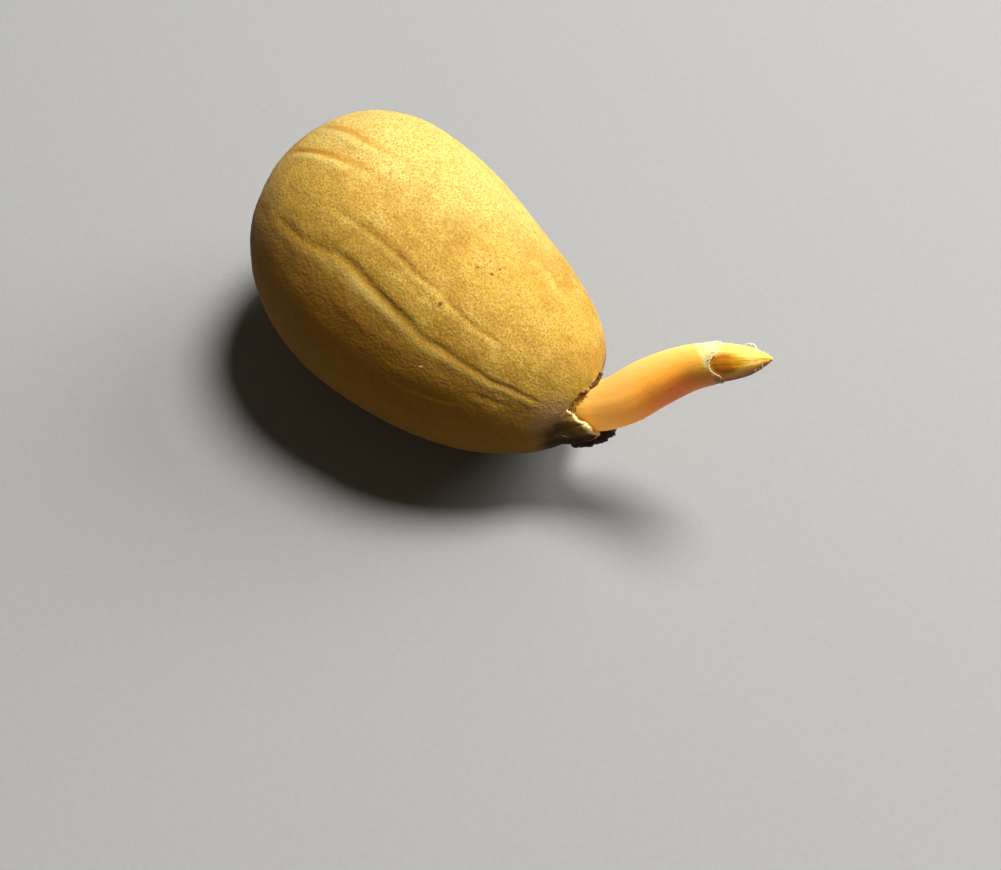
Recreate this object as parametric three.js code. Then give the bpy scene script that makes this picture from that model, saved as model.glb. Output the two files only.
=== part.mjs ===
// Germinated cycad seed, lying on its side with its young root lifted clear of the table.
// Millimetres, +Z up. The origin is the middle of the small flat spot that the seed rests on.
// Every shape is written in the seed's own frame: +x runs along the seed towards the root,
// +y to the left of the root and +z up. The group at the end tips it nose-down onto the flat spot.
import * as THREE from "three";

const DEG = Math.PI / 180;

// The seed: an egg with blunt ends, slimmer where the root comes out, bowed to one side
const HALF_LENGTH = 21.6;
const HALF_WIDTH = 14;
const HEIGHT_TO_WIDTH = 0.93;
const TAPER = 0.205;
const FAR_END_POWER = 2.37;
const ROOT_END_POWER = 2.82;
const SIDE_BOW = -2.35;
const TOP_BOW = 0.7;
const NOSE_DOWN = 7 * DEG;
const FLAT_DEPTH = 0.3;

// Fine form of the coat
const LUMP_HEIGHT = 0.09;
const GROOVE_RIDGE = 0.4;
const HIDDEN_GROOVES = 9;

// The shoulder of the root end that falls back beside the opening
const PULL_BACK = 2.2;
const PULL_SPOT = new THREE.Vector2(5.0, 0.0);
const PULL_REACH = 2.5;

// The split opening, around a point of the seed's end a little above its middle
const OPENING = new THREE.Vector3(21.25, 1.87, 1.6);
const OPENING_OFFSET = new THREE.Vector2(0.4, 2.2);
const COAT_THICKNESS = 0.6;
const LIP_INWARD = 0.1;
const LIP_LIFT = 0.28;
const LIP_UNEVEN = 0.16;
const FLAP_UNEVEN = 0.12;
const FLAP_BULGE = 0.22;
const GAP = 0.32;
const SOCKET_MOUTH = 2.7;
const SCALE_FOOT = 2.1;
const CLEARING_STEP = 0.05;

// The root and its tip: places along the root are distances from its inner end
const COLLAR = 19.75;
const COLLAR_WALL = 0.62;
const TIP_SOCKET = 2.3;
const COLLAR_TEETH = 0.22;
const COLLAR_NOTCH = 0.75;
const NOTCH_ANGLE = 158 * DEG;
const NOTCH_WIDTH = 0.35;

// Mesh fineness
const COAT_SECTORS = 100;
const ROOT_SECTORS = 28;
const TIP_SECTORS = 24;
const PATH_SAMPLES = 260;

// Grooves, each through rows of [place along the seed, angle round it, depth, width]. The place is
// -1 at the far end and 1 at the root end, and the angle starts from the seed's left.
const LONG_GROOVE = [
  [-0.62, 138, 0, 0.7], [-0.5, 135, 0.04, 0.7], [-0.35, 131.9, 0.06, 0.6],
  [-0.22, 126.8, 0.11, 0.55], [-0.11, 125.5, 0.18, 0.5], [0.02, 126.7, 0.22, 0.45],
  [0.14, 127.6, 0.21, 0.42], [0.25, 128.4, 0.16, 0.42], [0.33, 130, 0.14, 0.42],
  [0.42, 128.8, 0.16, 0.36], [0.5, 129.4, 0.13, 0.34], [0.59, 129, 0.14, 0.32],
  [0.66, 129.6, 0.13, 0.3], [0.72, 127.6, 0.14, 0.3], [0.81, 127.2, 0.11, 0.28],
  [0.88, 126, 0, 0.28],
];
const FAINT_GROOVE = [
  [-0.2, 111, 0, 0.3], [-0.11, 110.6, 0.06, 0.3], [0.03, 109.7, 0.1, 0.28],
  [0.13, 110.1, 0.11, 0.28], [0.17, 110, 0.08, 0.3], [0.26, 109.6, 0.07, 0.3],
  [0.38, 111.1, 0.08, 0.3], [0.48, 111, 0.08, 0.28], [0.56, 110, 0.06, 0.28],
  [0.62, 109.5, 0, 0.28],
];
const UPPER_CREASE = [
  [-0.86, 88, 0, 0.4], [-0.78, 86.5, 0.16, 0.38], [-0.63, 84.5, 0.16, 0.4],
  [-0.5, 83.4, 0.13, 0.4], [-0.39, 80.8, 0.08, 0.4], [-0.33, 79.5, 0, 0.4],
];
const LOWER_CREASE = [
  [-0.88, 117, 0, 0.35], [-0.81, 110.7, 0.16, 0.32], [-0.69, 103.6, 0.21, 0.32],
  [-0.58, 99.4, 0.18, 0.36], [-0.47, 96, 0.13, 0.4], [-0.37, 93.3, 0.06, 0.4], [-0.31, 92, 0, 0.4],
];
const LOW_GROOVE = [
  [0.3, 157.5, 0, 0.35], [0.35, 156.5, 0.05, 0.35], [0.55, 153.4, 0.05, 0.3], [0.6, 152.6, 0, 0.3],
];
const END_GROOVE = [
  [0.6, 142, 0, 0.3], [0.65, 141.4, 0.06, 0.3], [0.73, 140.6, 0.06, 0.3], [0.79, 140, 0, 0.3],
];
const GROOVES = [LONG_GROOVE, FAINT_GROOVE, UPPER_CREASE, LOWER_CREASE, LOW_GROOVE, END_GROOVE];

// How far the coat keeps its smooth form, measured from the opening: [direction, distance]
const TEAR_LINE = [
  [0, 3.4], [36, 3.15], [60, 2.9], [86, 2.78], [115, 2.9], [143, 3.15], [165, 3.9],
  [195, 4.5], [220, 5.1], [242, 5.7], [262, 5.4], [285, 4.9], [310, 4.2], [335, 3.6],
];

// Torn free edge of the flap: [direction, forward, left, up] from the opening's middle
const FLAP_EDGE = [
  [148, -1.2, -3.0, 1.95],
  [161, -0.35, -2.75, 1.5],
  [175, 0.6, -2.6, 1.15],
  [190, 1.4, -2.2, 0.55],
  [203, 1.95, -1.7, -0.3],
  [214, 2.2, -1.2, -1.25],
  [221, 1.8, -1.9, -1.95],
  [228, 1.1, -2.45, -2.85],
  [236, 0.2, -2.95, -3.7],
];

// Free edge of the dark inner scale, in the same terms
const SCALE_EDGE = [
  [245, 0.45, -2.75, -3.85],
  [253, 1.25, -2.05, -3.8],
  [262, 1.9, -1.3, -3.5],
  [276, 2.55, -0.4, -2.85],
  [290, 2.8, 0.1, -2.15],
  [303, 2.95, 0.45, -1.55],
  [318, 1.2, 1.9, -2.0],
];

// Middle line of the root, from its inner end in the socket to the point of its tip
const ROOT_PATH = new THREE.CatmullRomCurve3([
  new THREE.Vector3(15.8, 1.2, 0.2),
  new THREE.Vector3(18.2, 1.3, 0.3),
  new THREE.Vector3(20.2, 1.65, 0.7),
  new THREE.Vector3(21.7, 2.5, 1.9),
  new THREE.Vector3(23.1, 3.8, 3.7),
  new THREE.Vector3(24.5, 6.0, 6.2),
  new THREE.Vector3(26.3, 8.1, 8.8),
  new THREE.Vector3(28.2, 9.45, 10.9),
  new THREE.Vector3(30.1, 10.45, 12.5),
  new THREE.Vector3(32.65, 11.85, 14.7),
], false, "centripetal");
const PATH_LENGTH = ROOT_PATH.getLength();

// Radius of the root along its length, and of the tip beyond the collar
const ROOT_RADII = [
  [0, 1.9], [3, 2.1], [5.5, 2.35], [8.5, 2.55], [11, 2.65], [14, 2.5], [17, 2.25], [COLLAR, 2.05],
];
const TIP_RADII = [[0, 1.7], [0.9, 1.84], [2.2, 1.7], [3.9, 1.34], [4.8, 0.98], [5.6, 0.55], [6.1, 0.3]];

// Smooth curve through the rows of a short list: each row is [place, value, value, ...]
function along(rows, place) {
  const last = rows.length - 1;
  let k = rows.findIndex((row) => row[0] > place) - 1;
  if (place <= rows[0][0]) {
    return rows[0].slice(1);
  }
  if (k < 0) {
    return rows[last].slice(1);
  }
  k = Math.min(k, last - 1);
  const [a, b] = [rows[k], rows[k + 1]];
  const before = rows[Math.max(k - 1, 0)];
  const after = rows[Math.min(k + 2, last)];
  const span = b[0] - a[0];
  const t = (place - a[0]) / span;
  return a.slice(1).map((value, i) => {
    const slopeA = (b[i + 1] - before[i + 1]) / (b[0] - before[0]) * span;
    const slopeB = (after[i + 1] - value) / (after[0] - a[0]) * span;
    const rise = b[i + 1] - value;
    const bend = 3 * rise - 2 * slopeA - slopeB;
    return value + t * (slopeA + t * (bend + t * (slopeA + slopeB - 2 * rise)));
  });
}

// The same for a list of directions that closes on itself
function around(rows, degrees) {
  const turned = (row, by) => [row[0] + by, ...row.slice(1)];
  const before = rows.slice(-2).map((row) => turned(row, -360));
  const after = rows.slice(0, 2).map((row) => turned(row, 360));
  return along([...before, ...rows, ...after], degrees);
}

function seededRandom(seed) {
  let state = seed;
  return () => {
    state = (state * 1664525 + 1013904223) % 4294967296;
    return state / 4294967296;
  };
}

const random = seededRandom(7);
for (let k = 0; k < HIDDEN_GROOVES; k++) {
  const start = -0.8 + 1.1 * random();
  let angle = -150 + 205 * (k + 0.6 * random()) / HIDDEN_GROOVES;
  const end = Math.min(start + 0.4 + 0.7 * random(), 0.85);
  const depth = 0.1 + 0.14 * random();
  const rows = [[start, angle, 0, 0.4]];
  for (const share of [0.2, 0.5, 0.8]) {
    angle += 5 * (random() - 0.5);
    rows.push([start + (end - start) * share, angle, depth, 0.4]);
  }
  GROOVES.push([...rows, [end, angle, 0, 0.4]]);
}

// Outline of the seed before scaling: 1 at the widest, 0 at both ends
function rawRadius(u) {
  const power = u < 0 ? FAR_END_POWER : ROOT_END_POWER;
  return Math.sqrt(Math.max(0, 1 - Math.abs(u) ** power)) * (1 - TAPER * u);
}

const widest = { u: 0, radius: 0 };
for (let u = -0.5; u < 0.5; u += 0.001) {
  if (rawRadius(u) > widest.radius) {
    widest.u = u;
    widest.radius = rawRadius(u);
  }
}

function seedRadius(u) {
  return HALF_WIDTH * rawRadius(u) / widest.radius;
}

// Where along the seed its root half has a given radius
function placeOfRadius(radius) {
  let low = widest.u;
  let high = 1;
  for (let k = 0; k < 40; k++) {
    const middle = (low + high) / 2;
    if (seedRadius(middle) > radius) {
      low = middle;
    } else {
      high = middle;
    }
  }
  return low;
}

// Height of the coat's fine form: soft lumps, and grooves each with a low ridge beside it
function relief(u, angle) {
  const radius = seedRadius(u);
  let height = Math.sin(2 * angle + 5 * u + 1) + Math.sin(3 * angle - 4 * u) * Math.cos(6 * u + angle);
  height *= LUMP_HEIGHT * Math.min(1, radius / 6);
  for (const groove of GROOVES) {
    const [line, depth, width] = along(groove, u);
    const turn = THREE.MathUtils.euclideanModulo(angle - line * DEG + Math.PI, 2 * Math.PI) - Math.PI;
    const across = turn * radius / width;
    const ridge = GROOVE_RIDGE * Math.exp(-((across - 2.2) ** 2) / 1.6);
    height += depth * (ridge - Math.exp(-across * across));
  }
  return height;
}

// Point of the coat at a place along the seed and an angle round it
function coatPoint(u, angle) {
  const radius = seedRadius(u) + relief(u, angle);
  const bow = 1 / 3 - u * u;
  const y = radius * Math.cos(angle) + SIDE_BOW * bow;
  const z = radius * Math.sin(angle) * HEIGHT_TO_WIDTH + TOP_BOW * bow;
  const beside = Math.exp(-PULL_SPOT.distanceToSquared(new THREE.Vector2(y, z)) / PULL_REACH ** 2);
  return new THREE.Vector3(HALF_LENGTH * u - (u > 0 ? PULL_BACK * beside : 0), y, z);
}

// Point of the seed's root end, by its distance and direction from the opening
function endPoint(distance, angle) {
  const y = OPENING_OFFSET.x + distance * Math.cos(angle);
  const z = OPENING_OFFSET.y + distance * Math.sin(angle);
  return coatPoint(placeOfRadius(Math.hypot(y, z)), Math.atan2(z, y));
}

// The lowest point of the tipped seed, which becomes the middle of the flat spot
function lowestPoint() {
  let lowest = new THREE.Vector3();
  for (let u = -0.3; u < 0.4; u += 0.002) {
    const bow = 1 / 3 - u * u;
    const z = -seedRadius(u) * HEIGHT_TO_WIDTH + TOP_BOW * bow;
    const point = new THREE.Vector3(HALF_LENGTH * u, SIDE_BOW * bow, z).applyAxisAngle(Y_AXIS, NOSE_DOWN);
    if (point.z < lowest.z) {
      lowest = point;
    }
  }
  return lowest;
}

const Y_AXIS = new THREE.Vector3(0, 1, 0);
const Z_AXIS = new THREE.Vector3(0, 0, 1);
const floor = lowestPoint();
const floorNormal = Z_AXIS.clone().applyAxisAngle(Y_AXIS, -NOSE_DOWN);
const floorLevel = floor.z + FLAT_DEPTH;

// Lifts a point that is below the table onto it
function ontoTable(point) {
  const depth = floorLevel - point.dot(floorNormal);
  return depth > 0 ? point.clone().addScaledVector(floorNormal, depth) : point;
}

// Place on the root's middle line, run straight on past its inner end
function pathPoint(distance) {
  const point = ROOT_PATH.getPointAt(THREE.MathUtils.clamp(distance / PATH_LENGTH, 0, 1));
  return distance < 0 ? point.addScaledVector(ROOT_PATH.getTangentAt(0), distance) : point;
}

// Point at a radius and a direction round the root: direction 0 is to its left, 90 degrees on top
function aroundRoot(distance, radius, angle) {
  const tangent = ROOT_PATH.getTangentAt(THREE.MathUtils.clamp(distance / PATH_LENGTH, 0, 1));
  const side = new THREE.Vector3().crossVectors(Z_AXIS, tangent).normalize();
  const top = new THREE.Vector3().crossVectors(tangent, side);
  const point = pathPoint(distance);
  return point.addScaledVector(side, radius * Math.cos(angle)).addScaledVector(top, radius * Math.sin(angle));
}

function rootRadius(distance) {
  return along(ROOT_RADII, distance)[0];
}

const pathSamples = Array.from({ length: PATH_SAMPLES + 1 }, (_, k) => {
  const distance = PATH_LENGTH * k / PATH_SAMPLES;
  return { distance, point: pathPoint(distance) };
});

function nearestOnPath(point) {
  return pathSamples.reduce((best, sample) => {
    const near = sample.point.distanceToSquared(point);
    return near < best.near ? { near, sample } : best;
  }, { near: Infinity, sample: pathSamples[0] }).sample;
}

// Moves a point away from the root where it would be closer than the clearance
function clearOfRoot(point, clearance) {
  const nearest = nearestOnPath(point);
  const away = point.clone().sub(nearest.point);
  const wanted = rootRadius(nearest.distance) + clearance;
  return away.length() < wanted ? nearest.point.clone().add(away.setLength(wanted)) : point;
}

function towardsRoot(point, distance) {
  const inwards = nearestOnPath(point).point.clone().sub(point).setLength(distance);
  return point.clone().add(inwards);
}

// Small uneven waves of a torn edge, the same on every run
function tear(angle) {
  return 0.5 * Math.sin(7 * angle + 1) + 0.35 * Math.sin(12 * angle + 2.2) + 0.25 * Math.sin(19 * angle + 0.4);
}

// Middle surface of the dark inner scale: rows run from its foot in the socket to its free edge
const SCALE_ROWS = 8;
const SCALE_COLUMNS = 24;
const scaleMiddle = Array.from({ length: SCALE_ROWS + 1 }, (_, row) => {
  return Array.from({ length: SCALE_COLUMNS + 1 }, (_, column) => {
    const [first, last] = [SCALE_EDGE[0][0], SCALE_EDGE.at(-1)[0]];
    const degrees = first + (last - first) * column / SCALE_COLUMNS;
    const foot = aroundRoot(SCALE_FOOT, rootRadius(SCALE_FOOT) + GAP + COAT_THICKNESS / 2, degrees * DEG);
    const edge = new THREE.Vector3(...along(SCALE_EDGE, degrees)).add(OPENING);
    edge.x += FLAP_UNEVEN * tear(3 * degrees * DEG);
    return clearOfRoot(foot.lerp(edge, row / SCALE_ROWS), GAP + COAT_THICKNESS / 2);
  });
});

// Moves a point of the coat outwards until the root and the scale both have their clearance
function clearOfAll(point, clearance) {
  const moved = clearOfRoot(point, clearance).clone();
  const outwards = towardsRoot(moved, -CLEARING_STEP).sub(moved);
  const needed = clearance + COAT_THICKNESS / 2 + CLEARING_STEP;
  while (scaleMiddle.flat().some((spot) => spot.distanceTo(moved) < needed)) {
    moved.add(outwards);
  }
  return moved;
}

// Torn edge of the coat in one direction from the opening
function coatEdge(degrees) {
  const angle = degrees * DEG;
  const [distance] = around(TEAR_LINE, degrees);
  const rim = endPoint(distance, angle).lerp(OPENING, LIP_INWARD * (1 + 0.4 * tear(angle)));
  rim.x += LIP_LIFT + LIP_UNEVEN * tear(angle + 2);
  const { smoothstep } = THREE.MathUtils;
  const share = smoothstep(degrees, 140, 156) * (1 - smoothstep(degrees, 224, 236));
  const flap = new THREE.Vector3(...along(FLAP_EDGE, degrees)).add(OPENING);
  flap.addScaledVector(Y_AXIS, FLAP_UNEVEN * tear(2 * angle));
  rim.lerp(flap, share);
  return clearOfAll(rim, GAP + COAT_THICKNESS);
}

// Closed mesh through rings of points, closed by one point before the first ring and one after the last
function closedSkin(first, rings, last) {
  const sectors = rings[0].length;
  const points = [first, ...rings.flat(), last];
  const index = [];
  const at = (ring, sector) => 1 + ring * sectors + sector % sectors;
  for (let sector = 0; sector < sectors; sector++) {
    index.push(0, at(0, sector + 1), at(0, sector));
    index.push(points.length - 1, at(rings.length - 1, sector), at(rings.length - 1, sector + 1));
    for (let ring = 0; ring + 1 < rings.length; ring++) {
      const [a, b] = [at(ring, sector), at(ring, sector + 1)];
      const [c, d] = [at(ring + 1, sector), at(ring + 1, sector + 1)];
      index.push(a, b, d, a, d, c);
    }
  }
  const geometry = new THREE.BufferGeometry().setFromPoints(points);
  geometry.setIndex(index);
  geometry.computeVertexNormals();
  return geometry;
}

// Closed thin blade between two equal grids of points, back and front
function closedBlade(back, front) {
  const [rows, columns] = [back.length, back[0].length];
  const rings = [];
  for (let row = 0; row < rows; row++) {
    rings.push([...front[row], ...back[row].slice().reverse()]);
  }
  const index = [];
  const sides = 2 * columns;
  const at = (row, side) => row * sides + side % sides;
  for (let row = 0; row + 1 < rows; row++) {
    for (let side = 0; side < sides; side++) {
      const [a, b] = [at(row, side), at(row, side + 1)];
      const [c, d] = [at(row + 1, side), at(row + 1, side + 1)];
      index.push(a, b, d, a, d, c);
    }
  }
  for (let column = 0; column + 1 < columns; column++) {
    const [a, b] = [column, column + 1];
    const [c, d] = [sides - 1 - column, sides - 2 - column];
    const end = (rows - 1) * sides;
    index.push(a, d, b, a, c, d);
    index.push(end + a, end + b, end + d, end + a, end + d, end + c);
  }
  const geometry = new THREE.BufferGeometry().setFromPoints(rings.flat());
  geometry.setIndex(index);
  geometry.computeVertexNormals();
  return geometry;
}

function directions(sectors) {
  return Array.from({ length: sectors }, (_, k) => 360 * k / sectors);
}

function coatGeometry() {
  const BODY_RINGS = 26;
  const END_RINGS = 9;
  const LIP_RINGS = 4;
  const INNER_RINGS = 3;
  const BODY_END = 120 * DEG;
  const degrees = directions(COAT_SECTORS);
  const rings = [];
  for (let k = 1; k <= BODY_RINGS; k++) {
    const u = -Math.cos(BODY_END * k / BODY_RINGS);
    rings.push(degrees.map((d) => ontoTable(coatPoint(u, d * DEG))));
  }
  const bodyRadius = seedRadius(-Math.cos(BODY_END));
  const tearPoints = degrees.map((d) => {
    const [distance] = around(TEAR_LINE, d);
    return new THREE.Vector2(Math.cos(d * DEG), Math.sin(d * DEG)).multiplyScalar(distance).add(OPENING_OFFSET);
  });
  for (let k = 1; k <= END_RINGS; k++) {
    rings.push(degrees.map((d, i) => {
      const from = new THREE.Vector2(Math.cos(d * DEG), Math.sin(d * DEG)).multiplyScalar(bodyRadius);
      const spot = from.lerp(tearPoints[i], k / END_RINGS);
      return ontoTable(coatPoint(placeOfRadius(spot.length()), spot.angle()));
    }));
  }
  const tearRing = rings.at(-1);
  const edge = degrees.map(coatEdge);
  for (let k = 1; k <= LIP_RINGS; k++) {
    const share = k / LIP_RINGS;
    rings.push(edge.map((point, i) => {
      const reach = point.distanceTo(tearRing[i]);
      const between = tearRing[i].clone().lerp(point, share);
      return towardsRoot(between, -FLAP_BULGE * reach * share * (1 - share));
    }));
  }
  const innerEdge = edge.map((point) => clearOfAll(towardsRoot(point, COAT_THICKNESS), GAP));
  const mouth = degrees.map((d) => clearOfAll(aroundRoot(SOCKET_MOUTH, 0.1, d * DEG), GAP));
  rings.push(innerEdge);
  for (let k = 1; k <= INNER_RINGS; k++) {
    const share = k / (INNER_RINGS + 1);
    rings.push(innerEdge.map((point, i) => clearOfAll(point.clone().lerp(mouth[i], share), GAP)));
  }
  rings.push(mouth);
  for (const distance of [SCALE_FOOT - 0.2, SCALE_FOOT - 0.9, 0.3]) {
    rings.push(degrees.map((d) => clearOfAll(aroundRoot(distance, rootRadius(distance) + GAP, d * DEG), GAP)));
  }
  rings.push(degrees.map((d) => aroundRoot(-GAP, rootRadius(0), d * DEG)));
  return closedSkin(coatPoint(-1, 0), rings, pathPoint(-GAP - 0.05));
}

function scaleGeometry() {
  const face = (offset) => scaleMiddle.map((row) => row.map((point) => towardsRoot(point, offset)));
  return closedBlade(face(COAT_THICKNESS / 2), face(-COAT_THICKNESS / 2));
}

// How far the root's torn collar stands beyond its mean line: small teeth and one notch on top
function collarTear(angle) {
  const turn = THREE.MathUtils.euclideanModulo(angle - NOTCH_ANGLE + Math.PI, 2 * Math.PI) - Math.PI;
  return COLLAR_TEETH * tear(angle) - COLLAR_NOTCH * Math.exp(-((turn / NOTCH_WIDTH) ** 2));
}

function rootGeometry() {
  const OUTER_RINGS = 24;
  const degrees = directions(ROOT_SECTORS);
  const ring = (distance, radius) => degrees.map((d) => aroundRoot(distance, radius, d * DEG));
  const rings = [ring(0, 1.2), ring(0.25, 1.7)];
  for (let k = 1; k < OUTER_RINGS; k++) {
    const distance = COLLAR * k / OUTER_RINGS;
    rings.push(ring(distance, rootRadius(distance)));
  }
  const lip = (radius) => degrees.map((d) => aroundRoot(COLLAR + collarTear(d * DEG), radius, d * DEG));
  rings.push(lip(rootRadius(COLLAR)));
  rings.push(lip(rootRadius(COLLAR) - COLLAR_WALL));
  rings.push(ring(COLLAR - 1.3, rootRadius(COLLAR) - COLLAR_WALL - 0.05));
  rings.push(ring(COLLAR - TIP_SOCKET, 1.2));
  return closedSkin(pathPoint(-0.02), rings, pathPoint(COLLAR - TIP_SOCKET - 0.02));
}

function tipGeometry() {
  const degrees = directions(TIP_SECTORS);
  const ring = (distance, radius) => degrees.map((d) => aroundRoot(distance, radius, d * DEG));
  const shoulder = (beyond, radius) => degrees.map((d) => {
    return aroundRoot(COLLAR + collarTear(d * DEG) + beyond, radius, d * DEG);
  });
  const neck = rootRadius(COLLAR) - COLLAR_WALL - GAP - 0.05;
  const start = COLLAR - TIP_SOCKET + GAP + 0.05;
  const rings = [ring(start, 0.6), ring(start + 0.3, 0.85), ring(COLLAR - 1.2, neck)];
  rings.push(shoulder(0, neck), shoulder(GAP, neck), shoulder(GAP + 0.1, 1.7));
  const reach = PATH_LENGTH - COLLAR;
  for (const place of [0.14, 0.25, 0.36, 0.47, 0.58, 0.68, 0.78, 0.87, 0.94]) {
    rings.push(ring(COLLAR + reach * place, along(TIP_RADII, reach * place)[0]));
  }
  return closedSkin(pathPoint(start - 0.02), rings, pathPoint(PATH_LENGTH));
}

function piece(name, geometry, color, roughness) {
  const mesh = new THREE.Mesh(geometry, new THREE.MeshStandardMaterial({ color, roughness, metalness: 0 }));
  mesh.name = name;
  return mesh;
}

const seed = new THREE.Group();
seed.add(piece("seed_coat", coatGeometry(), 0xc2923f, 0.8));
seed.add(piece("inner_scale", scaleGeometry(), 0x2e1210, 0.6));
seed.add(piece("root", rootGeometry(), 0xf09a3a, 0.45));
seed.add(piece("root_tip", tipGeometry(), 0xd9b02c, 0.5));
seed.rotation.y = NOSE_DOWN;
seed.position.set(-floor.x, -floor.y, -floorLevel);

const group = new THREE.Group();
group.add(seed);
export default group;
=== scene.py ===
"""Looks of the germinated cycad seed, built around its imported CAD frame.
Shapes are worked out in millimetres in the seed's own frame, as in the CAD source, and then
tipped nose-down onto the table. Attributes on each mesh tell its material where it is."""
import math

import bpy
import numpy as np
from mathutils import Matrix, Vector


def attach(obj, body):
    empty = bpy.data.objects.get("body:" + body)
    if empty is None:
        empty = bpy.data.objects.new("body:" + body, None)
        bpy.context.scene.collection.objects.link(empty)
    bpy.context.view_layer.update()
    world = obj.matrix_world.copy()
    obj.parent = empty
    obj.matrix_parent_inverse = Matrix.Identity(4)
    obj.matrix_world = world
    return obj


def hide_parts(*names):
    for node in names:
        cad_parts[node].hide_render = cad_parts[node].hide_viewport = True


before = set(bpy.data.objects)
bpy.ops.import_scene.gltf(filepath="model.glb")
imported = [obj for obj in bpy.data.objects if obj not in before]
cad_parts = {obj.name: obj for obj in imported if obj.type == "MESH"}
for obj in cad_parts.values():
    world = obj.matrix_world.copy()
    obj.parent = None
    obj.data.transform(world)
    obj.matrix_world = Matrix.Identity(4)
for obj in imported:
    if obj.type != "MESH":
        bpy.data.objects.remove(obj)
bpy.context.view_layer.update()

MM = 0.001
DEG = math.pi / 180

# The seed, as the CAD source has it
HALF_LENGTH = 21.6
HALF_WIDTH = 14
HEIGHT_TO_WIDTH = 0.93
TAPER = 0.205
FAR_END_POWER = 2.37
ROOT_END_POWER = 2.82
SIDE_BOW = -2.35
TOP_BOW = 0.7
NOSE_DOWN = 7 * DEG
FLAT_DEPTH = 0.3
LUMP_HEIGHT = 0.09
GROOVE_RIDGE = 0.3
HIDDEN_GROOVES = 9
PULL_BACK = 2.2
PULL_SPOT = (5.0, 0.0)
PULL_REACH = 2.5

# The split opening
OPENING = np.array([21.25, 1.87, 1.6])
OPENING_OFFSET = np.array([0.4, 2.2])
LIP_INWARD = 0.1
LIP_LIFT = 0.28
LIP_UNEVEN = 0.16
FLAP_UNEVEN = 0.12
FLAP_BULGE = 0.22
COAT_THICKNESS = 0.6
GAP = 0.32
SOCKET_MOUTH = 2.7
SCALE_FOOT = 2.1
EDGE_CLEARANCE = 0.32
CLOSED_GAP = 0.1
LAST_FLAP_DIRECTION = 222

# The root and its tip: places along the root are distances from its inner end
COLLAR = 19.75

# Grooves: at each place along the seed its angle round the seed, depth and width
LONG_GROOVE = [
    (-0.66, 139, 0, 0.5), (-0.52, 135.5, 0.1, 0.48), (-0.35, 131.9, 0.11, 0.5),
    (-0.22, 126.8, 0.13, 0.52), (-0.11, 125.5, 0.18, 0.5), (0.02, 126.7, 0.22, 0.45),
    (0.14, 127.6, 0.21, 0.42), (0.25, 128.4, 0.16, 0.42), (0.33, 130, 0.14, 0.42),
    (0.42, 128.8, 0.16, 0.36), (0.5, 129.4, 0.13, 0.34), (0.59, 129, 0.14, 0.32),
    (0.66, 129.6, 0.13, 0.3), (0.72, 127.6, 0.14, 0.3), (0.81, 127.2, 0.11, 0.28),
    (0.88, 126, 0, 0.28),
]
FAINT_GROOVE = [
    (-0.4, 115.5, 0, 0.35), (-0.31, 113.4, 0.08, 0.32), (-0.2, 111.5, 0.09, 0.3), (-0.11, 110.6, 0.09, 0.3),
    (0.03, 109.7, 0.11, 0.28), (0.13, 110.1, 0.11, 0.28),
    (0.17, 110, 0.08, 0.3), (0.26, 109.6, 0.07, 0.3), (0.38, 111.1, 0.08, 0.3), (0.48, 111, 0.08, 0.28),
    (0.56, 110, 0.06, 0.28), (0.62, 109.5, 0, 0.28),
]
UPPER_CREASE = [
    (-0.86, 88, 0, 0.4), (-0.78, 86.5, 0.16, 0.38), (-0.63, 84.5, 0.16, 0.4), (-0.5, 83.4, 0.13, 0.4),
    (-0.39, 80.8, 0.08, 0.4), (-0.33, 79.5, 0, 0.4),
]
LOWER_CREASE = [
    (-0.88, 117, 0, 0.35), (-0.81, 110.7, 0.16, 0.32), (-0.69, 103.6, 0.21, 0.32), (-0.58, 99.4, 0.18, 0.36),
    (-0.47, 96, 0.13, 0.4), (-0.37, 93.3, 0.06, 0.4), (-0.31, 92, 0, 0.4),
]
LOW_GROOVE = [
    (0.3, 157.5, 0, 0.35), (0.35, 156.5, 0.05, 0.35), (0.55, 153.4, 0.05, 0.3), (0.6, 152.6, 0, 0.3),
]
END_GROOVE = [(0.6, 142, 0, 0.3), (0.65, 141.4, 0.06, 0.3), (0.73, 140.6, 0.06, 0.3), (0.79, 140, 0, 0.3)]
GROOVES = [LONG_GROOVE, FAINT_GROOVE, LOW_GROOVE, END_GROOVE]
ORANGE_GROOVES = [UPPER_CREASE, LOWER_CREASE]

# How far the coat keeps its smooth form, measured from the opening: direction, distance
TEAR_LINE = [
    (0, 3.4), (36, 3.15), (60, 2.9), (86, 2.78), (115, 2.9), (143, 3.15), (165, 3.9),
    (195, 4.5), (220, 5.1), (242, 5.7), (262, 5.4), (285, 4.9), (310, 4.2), (335, 3.6),
]

# Torn free edge of the flap: direction, then forward, left and up from the opening's middle
FLAP_EDGE = [
    (148, -1.2, -3.0, 1.95),
    (161, -0.35, -2.75, 1.5),
    (175, 0.6, -2.6, 1.15),
    (190, 1.4, -2.2, 0.55),
    (203, 1.95, -1.7, -0.3),
    (214, 2.2, -1.2, -1.25),
    (221, 1.8, -1.9, -1.95),
    (228, 1.1, -2.45, -2.85),
    (236, 0.2, -2.95, -3.7),
]

# Free edge of the dark inner scale, in the same terms
SCALE_EDGE = [
    (245, 0.45, -2.75, -3.85),
    (253, 1.25, -2.05, -3.8),
    (262, 1.9, -1.3, -3.5),
    (276, 2.55, -0.4, -2.85),
    (290, 2.8, 0.1, -2.15),
    (303, 2.95, 0.45, -1.55),
    (318, 1.2, 1.9, -2.0),
]

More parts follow.
